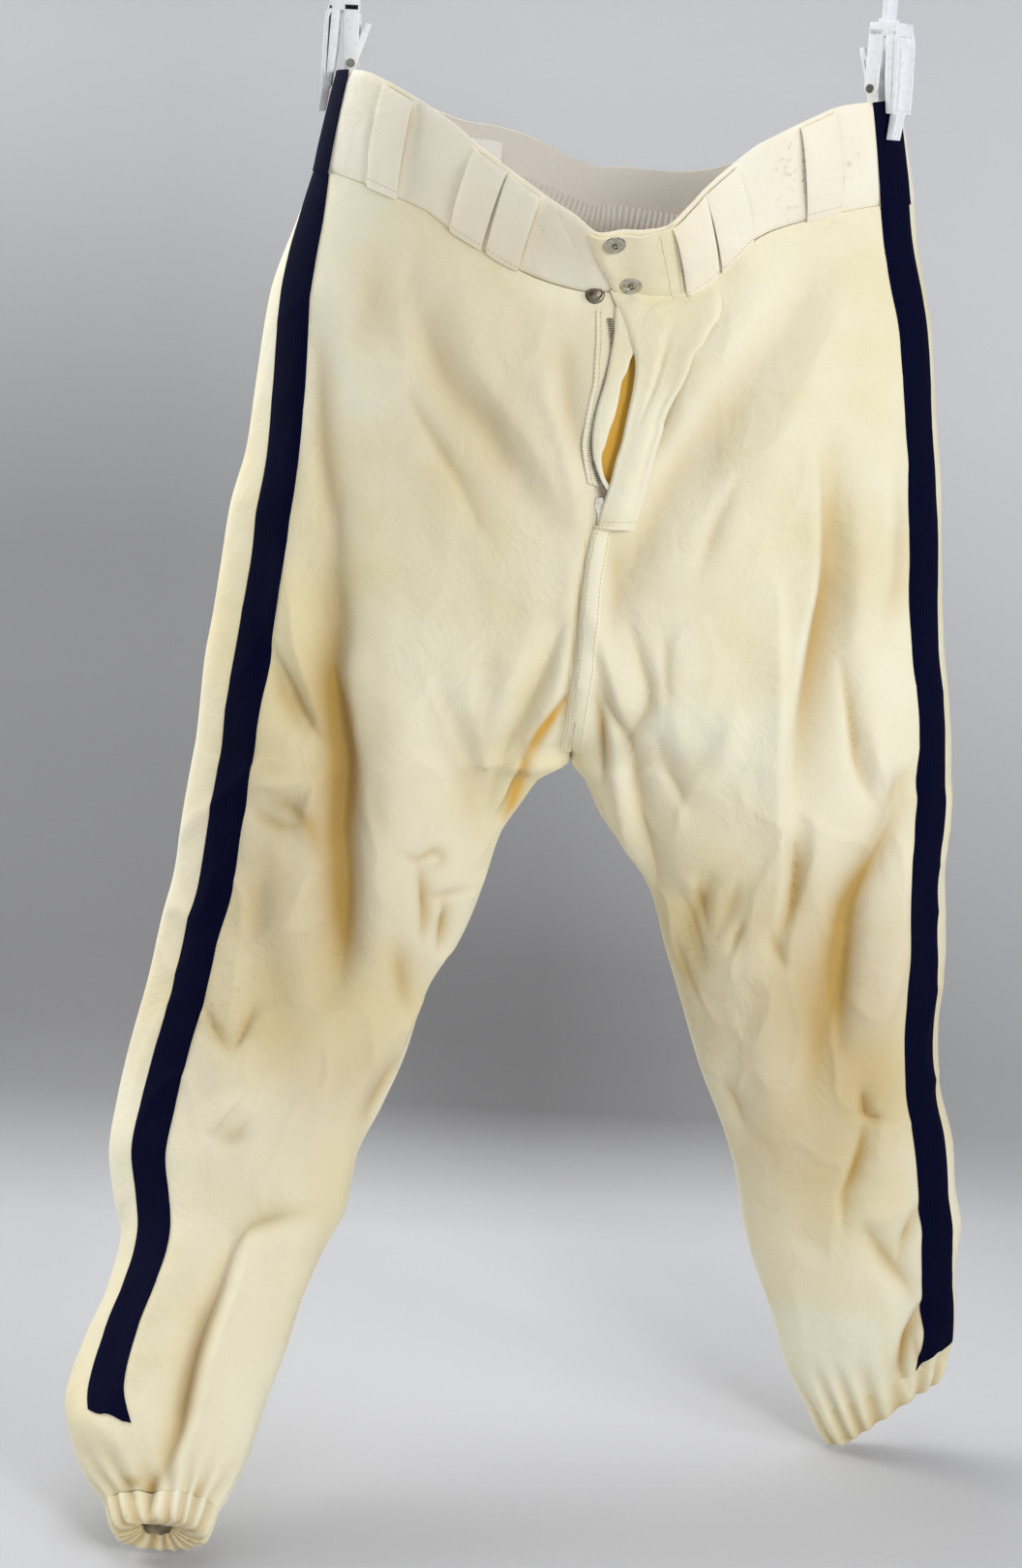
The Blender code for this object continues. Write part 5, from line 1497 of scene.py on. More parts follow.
@dataclass
class Drape:
    """Outer faces already built, to lay sewing and strips on."""

    trees: list = field(default_factory=list)
    start_y: ClassVar[float] = -400.0       # in front of all the cloth
    nudges: ClassVar[tuple] = ((0, 0), (0.5, -0.4), (-0.5, 0.4), (0.3, -1.3), (-0.3, 1.3))

    def add(self, piece: bpy.types.Object) -> None:
        """Let later pieces find this one's surface.

        Args:
            piece: a mesh piece.
        """
        mesh = piece.data
        self.trees.append(BVHTree.FromPolygons([v.co[:] for v in mesh.vertices],
                                               [p.vertices[:] for p in mesh.polygons]))

    def add_grid(self, grid: np.ndarray) -> None:
        """Let later pieces find a grid of millimetre points.

        Args:
            grid: points, rows by columns.
        """
        rows, cols = grid.shape[:2]
        faces = [(r * cols + c, r * cols + c + 1, (r + 1) * cols + c + 1, (r + 1) * cols + c)
                 for r in range(rows - 1) for c in range(cols - 1)]
        self.trees.append(BVHTree.FromPolygons(world(grid.reshape(-1, 3)).tolist(), faces))

    def patch(self, left: Path, right: Path, rows: int, columns: int,
              lift: Callable[[float, float], float],
              dip: float = 0.0) -> tuple[np.ndarray, np.ndarray]:
        """A grid between two edges, lifted off the cloth below.

        Args:
            left: the left edge as (x, z) points from the top down.
            right: the right edge.
            rows: down the patch.
            columns: across it.
            lift: height over the cloth, from shares down and across.
            dip: how far the middle of the top row hangs below its ends.

        Returns:
            The grid and its normals towards the viewer.
        """
        edges = smooth_path(left, rows), smooth_path(right, rows)
        grid = np.zeros((rows, columns, 3))
        for r in range(rows):
            for c in range(columns):
                t = c / (columns - 1)
                x, z = edges[0][r] + (edges[1][r] - edges[0][r]) * t
                z -= dip * math.sin(math.pi * t) * max(0.0, 1 - 3 * r / rows) ** 2
                place, normal = self.drop(x, z)
                grid[r, c] = place + normal * lift(r / (rows - 1), t)
        return grid, outward_normals(grid, TO_VIEWER)

    def drop(self, x: float, z: float) -> tuple[np.ndarray, np.ndarray]:
        """The first cloth met from the front over (x, z), or close by where none is.

        Args:
            x: across.
            z: up.

        Returns:
            The point there and its normal towards the viewer.
        """
        best = None
        for dx, dz in self.nudges:
            start = Vector(world((x + dx, self.start_y, z + dz)))
            for tree in self.trees:
                place, normal, _, away = tree.ray_cast(start, Vector(FROM_VIEWER))
                if place is not None and (best is None or away < best[2]):
                    best = (place, normal, away)
            if best is not None:
                break
        if best is None:
            return np.array((x, 0.0, z)), np.array(TO_VIEWER, float)
        normal = np.array(best[1])
        return np.array(best[0]) / MM + (0, 0, HANG), normal if normal[1] < 0 else -normal

    def line(self, path: Path, lift: float,
             step: float = 3.0) -> tuple[np.ndarray, np.ndarray]:
        """A run on the cloth through (x, z) points, for stitches.

        Args:
            path: the points.
            lift: how far it stands off the cloth.
            step: between two of its points.

        Returns:
            Points and normals.
        """
        length = sum(math.dist(a, b) for a, b in zip(path, path[1:]))
        met = [self.drop(x, z) for x, z in smooth_path(path, max(3, int(length / step)))]
        points = np.array([m[0] for m in met])
        normals = np.array([m[1] for m in met])
        return points + normals * lift, normals


# ------------------------------------------------------------- sub-assemblies
@dataclass
class LegPanels:
    """Front and back panels of both legs, and the braid over the side seams."""

    legs: dict[Side, LegForm]
    wardrobe: Wardrobe
    drape: Drape
    grid: dict = field(default_factory=lambda: {Face.FRONT: (370, 132), Face.BACK: (240, 80)})
    braid_rows: int = 330
    braid_top: float = -51.0
    braid_lift: float = 1.1
    braid_end: dict = field(default_factory=lambda: {Side.LEFT: -873.0, Side.RIGHT: -852.0})
    # How much shorter it is than that, from its back edge to its front one.
    braid_foot: dict = field(default_factory=lambda: {
        Side.LEFT: ((0, 0.25, 0.45, 0.6, 0.8, 1), (11, 8, 8.5, 7, 4.5, 4)),
        Side.RIGHT: ((0, 0.3, 0.5, 0.75, 1), (14, 9, 10, 4, 0))})
    specks: tuple = ((-250, -590, 46, 0.35), (100, -548, 30, 0.3),
                     (-150, -560, 30, 0.15), (90, -640, 50, 0.12))

    def build(self) -> None:
        """Make the four panels and both braids."""
        for side, leg in self.legs.items():
            for face in Face:
                self.panel(side, leg, face)
            self.braid(side, leg)

    def panel(self, side: Side, leg: LegForm, face: Face) -> None:
        """One panel, from the waist seam to the hem and seam to seam.

        Args:
            side: which leg.
            leg: its form.
            face: front or back.
        """
        rows, columns = self.grid[face]
        h = np.linspace(WAIST_SEAM, leg.panel_end, rows)[:, None]
        start, end = leg.seam_angle(h), leg.wrap_angle(h)
        if face is Face.BACK:
            end = -end
        t = np.linspace(0, 1, columns)[None, :]
        theta = start + (end - start) * t
        grid, yellowing_and_shade_sum = leg.surface(theta, h)
        normal = outward_normals(grid, (0, face.value, 0))
        paint = knit_paint(grid, trough=yellowing_and_shade_sum)
        if face is Face.FRONT:
            paint.update(stain=self.soil(grid), glow=self.slit_glow(grid))
        name = f"{face.word}_{side.word}"
        piece = cloth_wall(f"panel_{name}", grid, CLOTH, self.wardrobe.knit, normal, paint=paint)
        wear(piece, "cream_knit", *solids_of(name))
        declare(piece, leg.plain(theta, h))
        if face is Face.FRONT:
            self.drape.add(piece)

    def soil(self, grid: np.ndarray) -> np.ndarray:
        """How soiled each point of the front is, from a few patches.

        Args:
            grid: points of the front.

        Returns:
            A share for each point.
        """
        total = np.zeros(grid.shape[:2])
        for x, z, size, share in self.specks:
            away = np.hypot(grid[..., 0] - x, grid[..., 2] - z)
            total += share * np.exp(-(away / size) ** 2)
        return np.clip(total, 0, 1)

    @staticmethod
    def slit_glow(grid: np.ndarray) -> np.ndarray:
        """Warm light that shines through the cloth between the fly's two flaps.

        Args:
            grid: points of the front.

        Returns:
            A share for each point.
        """
        x, z = grid[..., 0], grid[..., 2]
        low, high = (np.interp(-z, *zip(*((-down, at) for at, down in edge)))
                     for edge in (Fly.under_right, Fly.flap_left))
        glow = (smoothstep(low - 6, low - 2, x) * smoothstep(high + 6, high + 2, x)
                * smoothstep(-140, -152, z) * smoothstep(-244, -238, z))
        for fold in FRONT_FOLDS:
            if fold.name.startswith("slit"):
                glow = np.clip(glow + 1.2 * fold.push(x, z) ** 1.3, 0, 1)
        return glow

    def braid(self, side: Side, leg: LegForm) -> None:
        """The navy braid down one side seam.

        Args:
            side: which leg.
            leg: its form.
        """
        h = np.linspace(self.braid_top, self.braid_end[side], self.braid_rows)[:, None]
        theta = leg.braid_angles(h)
        grid, _ = leg.surface(theta, h)
        normal = outward_normals(grid, (side.value, -0.6, 0))[:, 1:-1]
        grid, normal = self.trimmed(grid[:, 1:-1], normal, side)
        edge = 1 - 0.4 * np.abs(np.linspace(-1, 1, BRAID_COLUMNS)[None, :, None]) ** 6
        outer = grid + normal * (self.braid_lift * edge)
        piece = cloth_wall(f"braid_{side.word}", outer, BRAID_THICKNESS,
                           self.wardrobe.braid, normal)
        wear(piece, "navy_braid", f"braid_leg_{side.word}")
        declare(piece, leg.plain(theta[:, 1:-1], h))

    def trimmed(self, grid: np.ndarray, normal: np.ndarray,
                side: Side) -> tuple[np.ndarray, np.ndarray]:
        """Cut the braid's lower end to its uneven line, column by column.

        Args:
            grid: points, rows by columns.
            normal: their normals.
            side: which leg.

        Returns:
            Points and normals of the shorter braid.
        """
        across, short = self.braid_foot[side]
        ends = np.interp(np.linspace(0, 1, grid.shape[1]), across, short)
        step = (self.braid_end[side] - self.braid_top) / (1 - self.braid_rows)
        rows = np.arange(self.braid_rows)
        cut = [[], []]
        for c, end in enumerate(ends):
            ramp = smoothstep(0.93, 1.0, rows / rows[-1])
            at = rows - ramp * end / step
            for made, source in zip(cut, (grid, normal)):
                made.append([np.interp(at, rows, source[:, c, k]) for k in range(3)])
        return tuple(np.array(made).transpose(2, 0, 1) for made in cut)


@dataclass
class Waistband:
    """The bands, the braid over their seams, the elastic and the label."""

    form: WaistForm
    wardrobe: Wardrobe
    drape: Drape
    rows: int = 34
    columns: int = 110
    puff: float = 0.9           # the folded band is fuller than one layer
    rib_pitch: float = 3.8
    rib_top: float = 0.50       # shares of the band where the elastic's ribs begin
    rib_foot: float = 0.96      # and end

    def build(self) -> None:
        """Make every piece of the band."""
        for side in Side:
            self.front(side)
            self.braid(side)
        self.back()
        self.elastic()
        self.label()

    def cross(self, share: np.ndarray) -> np.ndarray:
        """How far the band stands out, from its rim to its seam."""
        fold = self.puff * (1 - np.abs(2 * share - 1) ** 5)
        return fold - 0.9 * smoothstep(0.93, 1.0, share) - 1.1 * smoothstep(0.045, 0.0, share)

    def front(self, side: Side) -> None:
        """One front band, from the side seam to the centre.

        Args:
            side: which half.
        """
        leg = self.form.legs[side]
        theta = np.linspace(leg.seam_start(), math.pi / 2, self.columns)[None, :]
        share = np.linspace(0, 1, self.rows)[:, None]
        plain = self.form.around(side, theta, share)
        normal = outward_normals(plain, TO_VIEWER)
        wave = undulation(plain, 30, 5.0 + side.value)
        spread = np.broadcast_to(share, plain.shape[:2])
        grid = plain + normal * (self.cross(spread) + 0.8 * wave)[..., None]
        stain = np.exp(-((plain[..., 0] - 130) / 22) ** 2 - ((plain[..., 2] + 32) / 24) ** 2)
        piece = cloth_wall(f"band_front_{side.word}", grid, CLOTH + 0.6, self.wardrobe.band,
                           outward_normals(grid, TO_VIEWER),
                           paint=knit_paint(grid, stain=stain))
        wear(piece, "cream_knit", f"waistband_front_{side.word}")
        declare(piece, plain)
        self.drape.add(piece)

    def back_grid(self, shares: np.ndarray, columns: int,
                  trim: float = 0.0) -> tuple[np.ndarray, np.ndarray]:
        """The whole back band as one grid from left to right.

        Args:
            shares: rows of the grid, from the rim down.
            columns: on each side.
            trim: angle left free at each end.

        Returns:
            Points and outward normals.
        """
        halves = []
        for side in Side:
            start = self.form.legs[side].seam_start()
            theta = np.linspace(start - trim, -math.pi / 2, columns)[None, :]
            grid = self.form.around(side, theta, shares[:, None])
            halves.append(grid if side is Side.LEFT else grid[:, -2::-1])
        grid = np.concatenate(halves, axis=1)
        return grid, outward_normals(grid, FROM_VIEWER)

    def back(self) -> None:
        """The back band."""
        share = np.linspace(0, 1, self.rows)
        plain, normal = self.back_grid(share, self.columns)
        grid = plain + normal * (self.cross(share)[:, None, None] * 0.7
                                 + 0.6 * undulation(plain, 34, 2.0)[..., None])
        piece = cloth_wall("band_back", grid, CLOTH, self.wardrobe.band,
                           outward_normals(grid, FROM_VIEWER), paint=knit_paint(grid))
        wear(piece, "cream_knit", "waistband_back")
        declare(piece, plain)

    def elastic(self) -> None:
        """The elastic inside the back band, with its ribs."""
        share = np.linspace(0.02, 0.97, self.rows)
        plain, normal = self.back_grid(share, self.columns, trim=0.16)
        grid = plain - normal * (CLOTH + 0.5)
        piece = cloth_wall("elastic_band", grid, 1.0, self.wardrobe.elastic, normal)
        wear(piece, "grey_elastic", "elastic_back")
        declare(piece, plain)
        middle = (self.rib_top + self.rib_foot) / 2
        rows, facing = self.back_grid(np.array([middle - 0.01, middle, middle + 0.01]),
                                      self.columns, trim=0.22)
        line = rows[1] - facing[1] * (CLOTH + 1.6)
        ends, _ = self.back_grid(np.array([self.rib_top, self.rib_foot]), 3)
        height = float(np.linalg.norm(ends[0, 2] - ends[1, 2]))
        ribs = Repeat(Bead.RIB, self.rib_pitch, 2.7, height, 1.1, jitter=0.02)
        piece = ribs.along("elastic_ribs", [(line, -facing[1])], self.wardrobe.elastic)
        wear(piece, "grey_elastic")

    def braid(self, side: Side) -> None:
        """The braid's own piece on the waistband.

        Args:
            side: which half.
        """
        theta = self.form.legs[side].braid_angles(np.array([[WAIST_SEAM]]))
        share = np.linspace(0, 1.025, 30)[:, None]
        plain = self.form.around(side, theta, share)
        normal = outward_normals(plain, (side.value, 0, 0))[:, 1:-1]
        plain = plain[:, 1:-1]
        lift = 1.4 + np.maximum(self.cross(np.minimum(share, 1)), 0.5)
        piece = cloth_wall(f"braid_band_{side.word}", plain + normal * lift[..., None],
                           BRAID_THICKNESS, self.wardrobe.braid, normal)
        wear(piece, "navy_braid", f"braid_waist_{side.word}")
        declare(piece, plain)

    def label(self) -> None:
        """A blank label sewn inside the back band."""
        shares = np.linspace(0.20, 0.42, 9)
        plain = self.form.strip([-91] * 9, [-70] * 9, shares, 12, Face.BACK)
        normal = outward_normals(plain, FROM_VIEWER)
        grid = plain - normal * 4.0
        piece = cloth_wall("label", grid, 0.4, self.wardrobe.label, normal)
        wear(piece, "white_label", "label_blank")
        declare(piece, plain)


@dataclass
class BeltLoops:
    """Belt loops: flat strips that stand off the band between sewn ends."""

    form: WaistForm
    wardrobe: Wardrobe
    stand_off: float = 3.6
    sewn_at: float = 0.91       # share of the band where its foot is sewn
    front: tuple = (("belt_loop_front_1", -132, -142, 20), ("belt_loop_front_2", -72, -87, 21),
                    ("belt_loop_front_3", -50, -63, 21), ("belt_loop_front_4", 50, 65, 19),
                    ("belt_loop_front_5", 69, 86, 19), ("belt_loop_front_6", 128, 140, 22))
    back: tuple = (("belt_loop_back_1", -75, -80, 21), ("belt_loop_back_2", 75, 80, 21))

    def build(self) -> None:
        """Make every loop and the stitches at its foot."""
        for face, rows in ((Face.FRONT, self.front), (Face.BACK, self.back)):
            for name, rim_x, seam_x, width in rows:
                self.loop(name, rim_x, seam_x, width, face)

    def loop(self, name: str, rim_x: float, seam_x: float, width: float, face: Face) -> None:
        """One loop, with a turned-in edge on each side and a sewn foot.

        Args:
            name: the loop's name.
            rim_x: its middle at the rim.
            seam_x: and at the waist seam.
            width: across.
            face: front or back.
        """
        shares = np.linspace(0.02, 1.0, 34)
        middle = rim_x + (seam_x - rim_x) * shares
        plain = self.form.strip(middle - width / 2, middle + width / 2, shares, 14, face)
        normal = outward_normals(plain, (0, face.value, 0))
        across = np.linspace(-1, 1, 14)[None, :]
        arch = np.sin(math.pi * np.clip((shares - 0.02) / 0.96, 0, 1)) ** 0.5
        lift = 2.6 + self.stand_off * arch[:, None] - 0.9 * np.abs(across) ** 6
        lift = lift + 0.4 * undulation(plain, 14, rim_x)
        grid = plain + normal * lift[..., None]
        piece = cloth_wall(name + "_strip", grid, 1.6, self.wardrobe.band,
                           outward_normals(grid, (0, face.value, 0)), paint=knit_paint(grid))
        wear(piece, "cream_knit", name)
        row = np.argmin(np.abs(shares - self.sewn_at))
        sewing = sewn(name, grid, normal, [np.s_[row, 1:-1]], self.wardrobe.thread, 0.2)
        declare(piece, plain)


def bump(low: float, high: float, value: float) -> float:
    """0 outside two limits and 1 half way between them."""
    share = min(max((value - low) / (high - low), 0.0), 1.0)
    return math.sin(math.pi * share) ** 1.2


@dataclass
class Fly:
    """The snap tab, the open zip fly with its flaps, and the seam below."""

    form: WaistForm
    wardrobe: Wardrobe
    drape: Drape
    plain: Drape
    flap_left: Path = ((6, -114), (10, -124), (16, -134), (21, -147), (24, -156), (25, -165),
                       (24, -178), (21, -197), (19, -210), (16, -222), (13, -238), (9, -253),
                       (6, -267))
    flap_right: Path = ((72, -103), (77, -115), (78, -124), (76, -131), (72, -137), (68, -146),
                        (62, -154), (59, -164), (55, -174), (50, -184), (46, -195), (45, -203),
                        (42, -215), (39, -230), (34, -253), (31, -267))
    under_left: Path = ((10, -126), (10, -140), (8, -160), (6, -173), (3, -185), (1, -195),
                        (0, -204), (0, -212), (1, -220), (3, -226), (5, -231), (8, -237),
                        (12, -243))
    under_right: Path = ((22, -130), (26, -142), (25, -152), (22, -158), (20, -166), (17, -173),
                         (16, -182), (14, -194), (11, -204), (9, -213), (7, -220), (8, -228),
                         (10, -234), (14, -240))
    teeth: Path = ((6, -134), (8, -143), (9, -152), (8, -162), (5, -176), (2, -189), (0, -201),
                   (-1, -214), (1, -225), (4, -233), (7, -240), (10, -247), (11, -253))
    tape_widths: tuple = (11, 11, 10.5, 10, 10, 10, 9, 7, 6, 4, 3, 3, 3)
    edge: Path = ((-2, -130), (-1, -146), (-1, -160), (-1, -174), (-3, -186), (-5, -202),
                  (-6, -214), (-4, -226), (-1, -238))
    strip_left: Path = ((5, -266), (2, -279), (0, -300), (-1, -325), (-1, -350), (-4, -380),
                        (-6, -404), (-8, -424))
    strip_right: Path = ((16, -266), (14, -285), (12, -305), (12, -330), (11, -353), (9, -380),
                         (8, -400), (8, -424))
    cap_places: tuple = ((6.5, -87.0), (19.0, -112.0))
    stud_place: Point = (-3.0, -119.0)

    def build(self) -> None:
        """Make every piece of the fly."""
        self.tab()
        self.flap()
        self.underlap()
        self.zip()
        self.strip()
        self.snaps()

    def cream(self, name: str, grid: np.ndarray, normal: np.ndarray,
              thickness: float) -> bpy.types.Object:
        """A cream cloth wall with no stains."""
        return cloth_wall(name, grid, thickness, self.wardrobe.knit, normal,
                          paint=knit_paint(grid))

    def tab(self) -> None:
        """The right band's end, lapped over the left one."""
        shares = np.linspace(0.0, 1.0, 30)
        left = np.interp(shares, (0, 0.33, 0.67, 1), (-8, -4, 3, 9))
        right = np.interp(shares, (0, 1), (42, 54))
        base = self.form.strip(left, right, shares, 30)
        normal = outward_normals(base, TO_VIEWER)
        t = np.linspace(0, 1, 30)[None, :]
        lift = 4.2 - 2.4 * smoothstep(0.55, 1.0, t) - 1.1 * smoothstep(0.06, 0.0, t)
        lift = lift - 0.8 * smoothstep(0.9, 1.0, shares)[:, None]
        grid = base + normal * (lift + 0.5 * undulation(base, 18, 4.0))[..., None]
        piece = self.cream("tab", grid, outward_normals(grid, TO_VIEWER), 1.5)
        wear(piece, "cream_knit", "snap_tab")
        lines = [np.s_[2:-2, column] for column in (24, 28)]
        sewing = sewn("tab", grid, normal, lines, self.wardrobe.thread)
        declare(piece, base)

    def flap(self) -> None:
        """The right fly flap: a smooth fall with a free, rolled right edge."""
        def lift(s: float, t: float) -> float:
            """Height of the flap over the cloth.

            Args:
                s: share down the flap.
                t: share across it.

            Returns:
                The height.
            """
            def ease(low: float, high: float, value: float) -> float:
                """Smoothstep as a plain number."""
                return float(smoothstep(low, high, value))

            height = 3.4 + 2.6 * math.sin(math.pi * t) ** 0.8
            # the free edge rolls out at the left, and the fall stands off at the right
            height += 1.6 * math.exp(-(t / 0.14) ** 2) * bump(0.1, 1.0, s)
            height += 4.6 * bump(0.0, 0.62, s) * ease(0.55, 1.0, t)
            # two creases run down it
            height -= 1.5 * math.exp(-((t - 0.52 + 0.25 * s) / 0.07) ** 2) * bump(0.1, 0.6, s)
            height -= 1.2 * math.exp(-((t - 0.76) / 0.09) ** 2) * bump(0.3, 1.0, s)
            # its edges and its lower end lie closer
            height -= 1.7 * ease(0.95, 1.0, t) + 1.3 * ease(0.05, 0, t)
            height -= 2.4 * ease(0.9, 1.0, s)
            height *= 1 - 0.6 * ease(0.65, 1.0, s) * ease(0.35, 1.0, t)
            # the top is tucked under the band
            tuck = ease(0.0, 0.09, s)
            return height * tuck + (0.6 + 1.6 * ease(0.75, 0.5, t)) * (1 - tuck)

        grid, normal = self.plain.patch(self.flap_left, self.flap_right, 96, 38, lift, 6.5)
        piece = self.cream("flap", grid, normal, 1.4)
        wear(piece, "cream_knit", "fly_flap")
        sewing = sewn("flap", grid, normal, [np.s_[92, 2:-2]], self.wardrobe.thread)
        declare(piece, grid)
        self.drape.add(piece)

    def underlap(self) -> None:
        """The narrow facing behind the flap, with a rolled left edge."""
        def lift(s: float, t: float) -> float:
            """Height at a share down and across."""
            edge = float(smoothstep(0.0, 0.12, t)) * float(smoothstep(1.0, 0.9, t))
            return 1.0 + 1.3 * edge + 0.9 * math.sin(math.pi * t) * bump(0.2, 1.0, s)

        grid, normal = self.plain.patch(self.under_left, self.under_right, 70, 14, lift)
        piece = self.cream("underlap", grid, normal, 1.3)
        wear(piece, "cream_knit", "fly_underlap")
        declare(piece, grid)

    def zip(self) -> None:
        """The zip's tapes and teeth beside the opening."""
        shift = tuple((x + w, z) for (x, z), w in zip(self.teeth, self.tape_widths))
        for name, left, right, low in (("zip_tape_left", self.edge, self.teeth[:-2], 0.5),
                                       ("zip_tape_right", self.teeth, shift, -0.9)):
            grid, normal = self.plain.patch(left, right, 60, 8, lambda s, t, k=low: k)
            if name == "zip_tape_left":
                piece = self.cream(name + "_cloth", grid, normal, 0.8)
            else:
                piece = cloth_wall(name + "_cloth", grid, 0.8, self.wardrobe.tape, normal)
            wear(piece, "grey_elastic", name)
            declare(piece, grid)
        chain = Repeat(Bead.TOOTH, spacing=1.5, length=0.8, width=2.2, height=1.2, jitter=0.02)
        wear(chain.along("zip_teeth", self.beside(self.teeth, (0.4, 2.0), 1.0),
                         self.wardrobe.zip_metal), "nickel")
        wear(STITCHES.along("zip_stitches", self.beside(self.edge, (0.6, 3.4), 0.8),
                            self.wardrobe.thread), "cream_knit")

    def beside(self, path: Path, offsets: Sequence[float], lift: float) -> list:
        """Runs on the cloth, each to the right of a path by one of the offsets."""
        return [self.plain.line(tuple((x + offset, z) for x, z in path), lift)
                for offset in offsets]

    def strip(self) -> None:
        """The flat seam from the fly to the crotch, with its rows of stitches."""
        def lift(_: float, t: float) -> float:
            """Height at a share across."""
            return 0.8 + 1.2 * math.sin(math.pi * t) ** 0.4

        grid, normal = self.drape.patch(self.strip_left, self.strip_right, 110, 9, lift)
        piece = self.cream("seam_strip", grid, normal, 1.2)
        wear(piece, "cream_knit", "centre_strip")
        lines = [np.s_[1:-1, column] for column in (1, 2, 7)]
        sewing = sewn("strip", grid, normal, lines, self.wardrobe.thread, 0.2)
        declare(piece, grid)

    def snaps(self) -> None:
        """Two socket caps on the tab and the stud on the left band."""
        socket = ((0, -0.6), (7.0, -0.6), (7.5, -0.1), (7.4, 0.7), (6.7, 1.2), (6.0, 0.9),
                  (4.4, 0.85), (3.7, 1.25), (3.0, 1.2), (2.6, 0.3), (0, 0.2))
        stud = ((0, -0.6), (6.0, -0.6), (6.2, 0.3), (5.6, 0.9), (4.5, 1.2), (4.2, 2.0),
                (4.8, 3.0), (4.7, 3.9), (3.8, 4.8), (2.2, 5.4), (0, 5.5))
        springs: tuple[list, list] = ([], [])
        surface = Drape()
        surface.add(bpy.data.objects["tab"])
        for name, (x, z) in zip(("upper", "lower"), self.cap_places):
            place, normal = surface.drop(x, z)
            verts, faces = turned(place, normal, socket)
            piece = plain_mesh(f"cap_{name}", verts, faces, self.wardrobe.nickel)
            wear(piece, "nickel", f"snap_cap_{name}")
            across = np.cross(normal, (0, 0, 1.0))
            up = np.cross(across, normal)
            turn = np.radians(np.linspace(-40, 190, 14))
            curl = np.array([place + normal * 1.0 + 1.8 * (math.cos(a) * across
                                                           + math.sin(a) * up) for a in turn])
            verts, faces = wire(curl, 0.45)
            base = len(springs[0])
            springs[0].extend(verts)
            springs[1].extend(tuple(base + i for i in f) for f in faces)
        wear(plain_mesh("snap_springs", *springs, self.wardrobe.zip_metal), "nickel")
        place, normal = self.drape.drop(*self.stud_place)
        verts, faces = turned(place, normal, stud)
        piece = plain_mesh("stud", verts, faces, self.wardrobe.zip_metal)
        wear(piece, "nickel", "snap_stud")


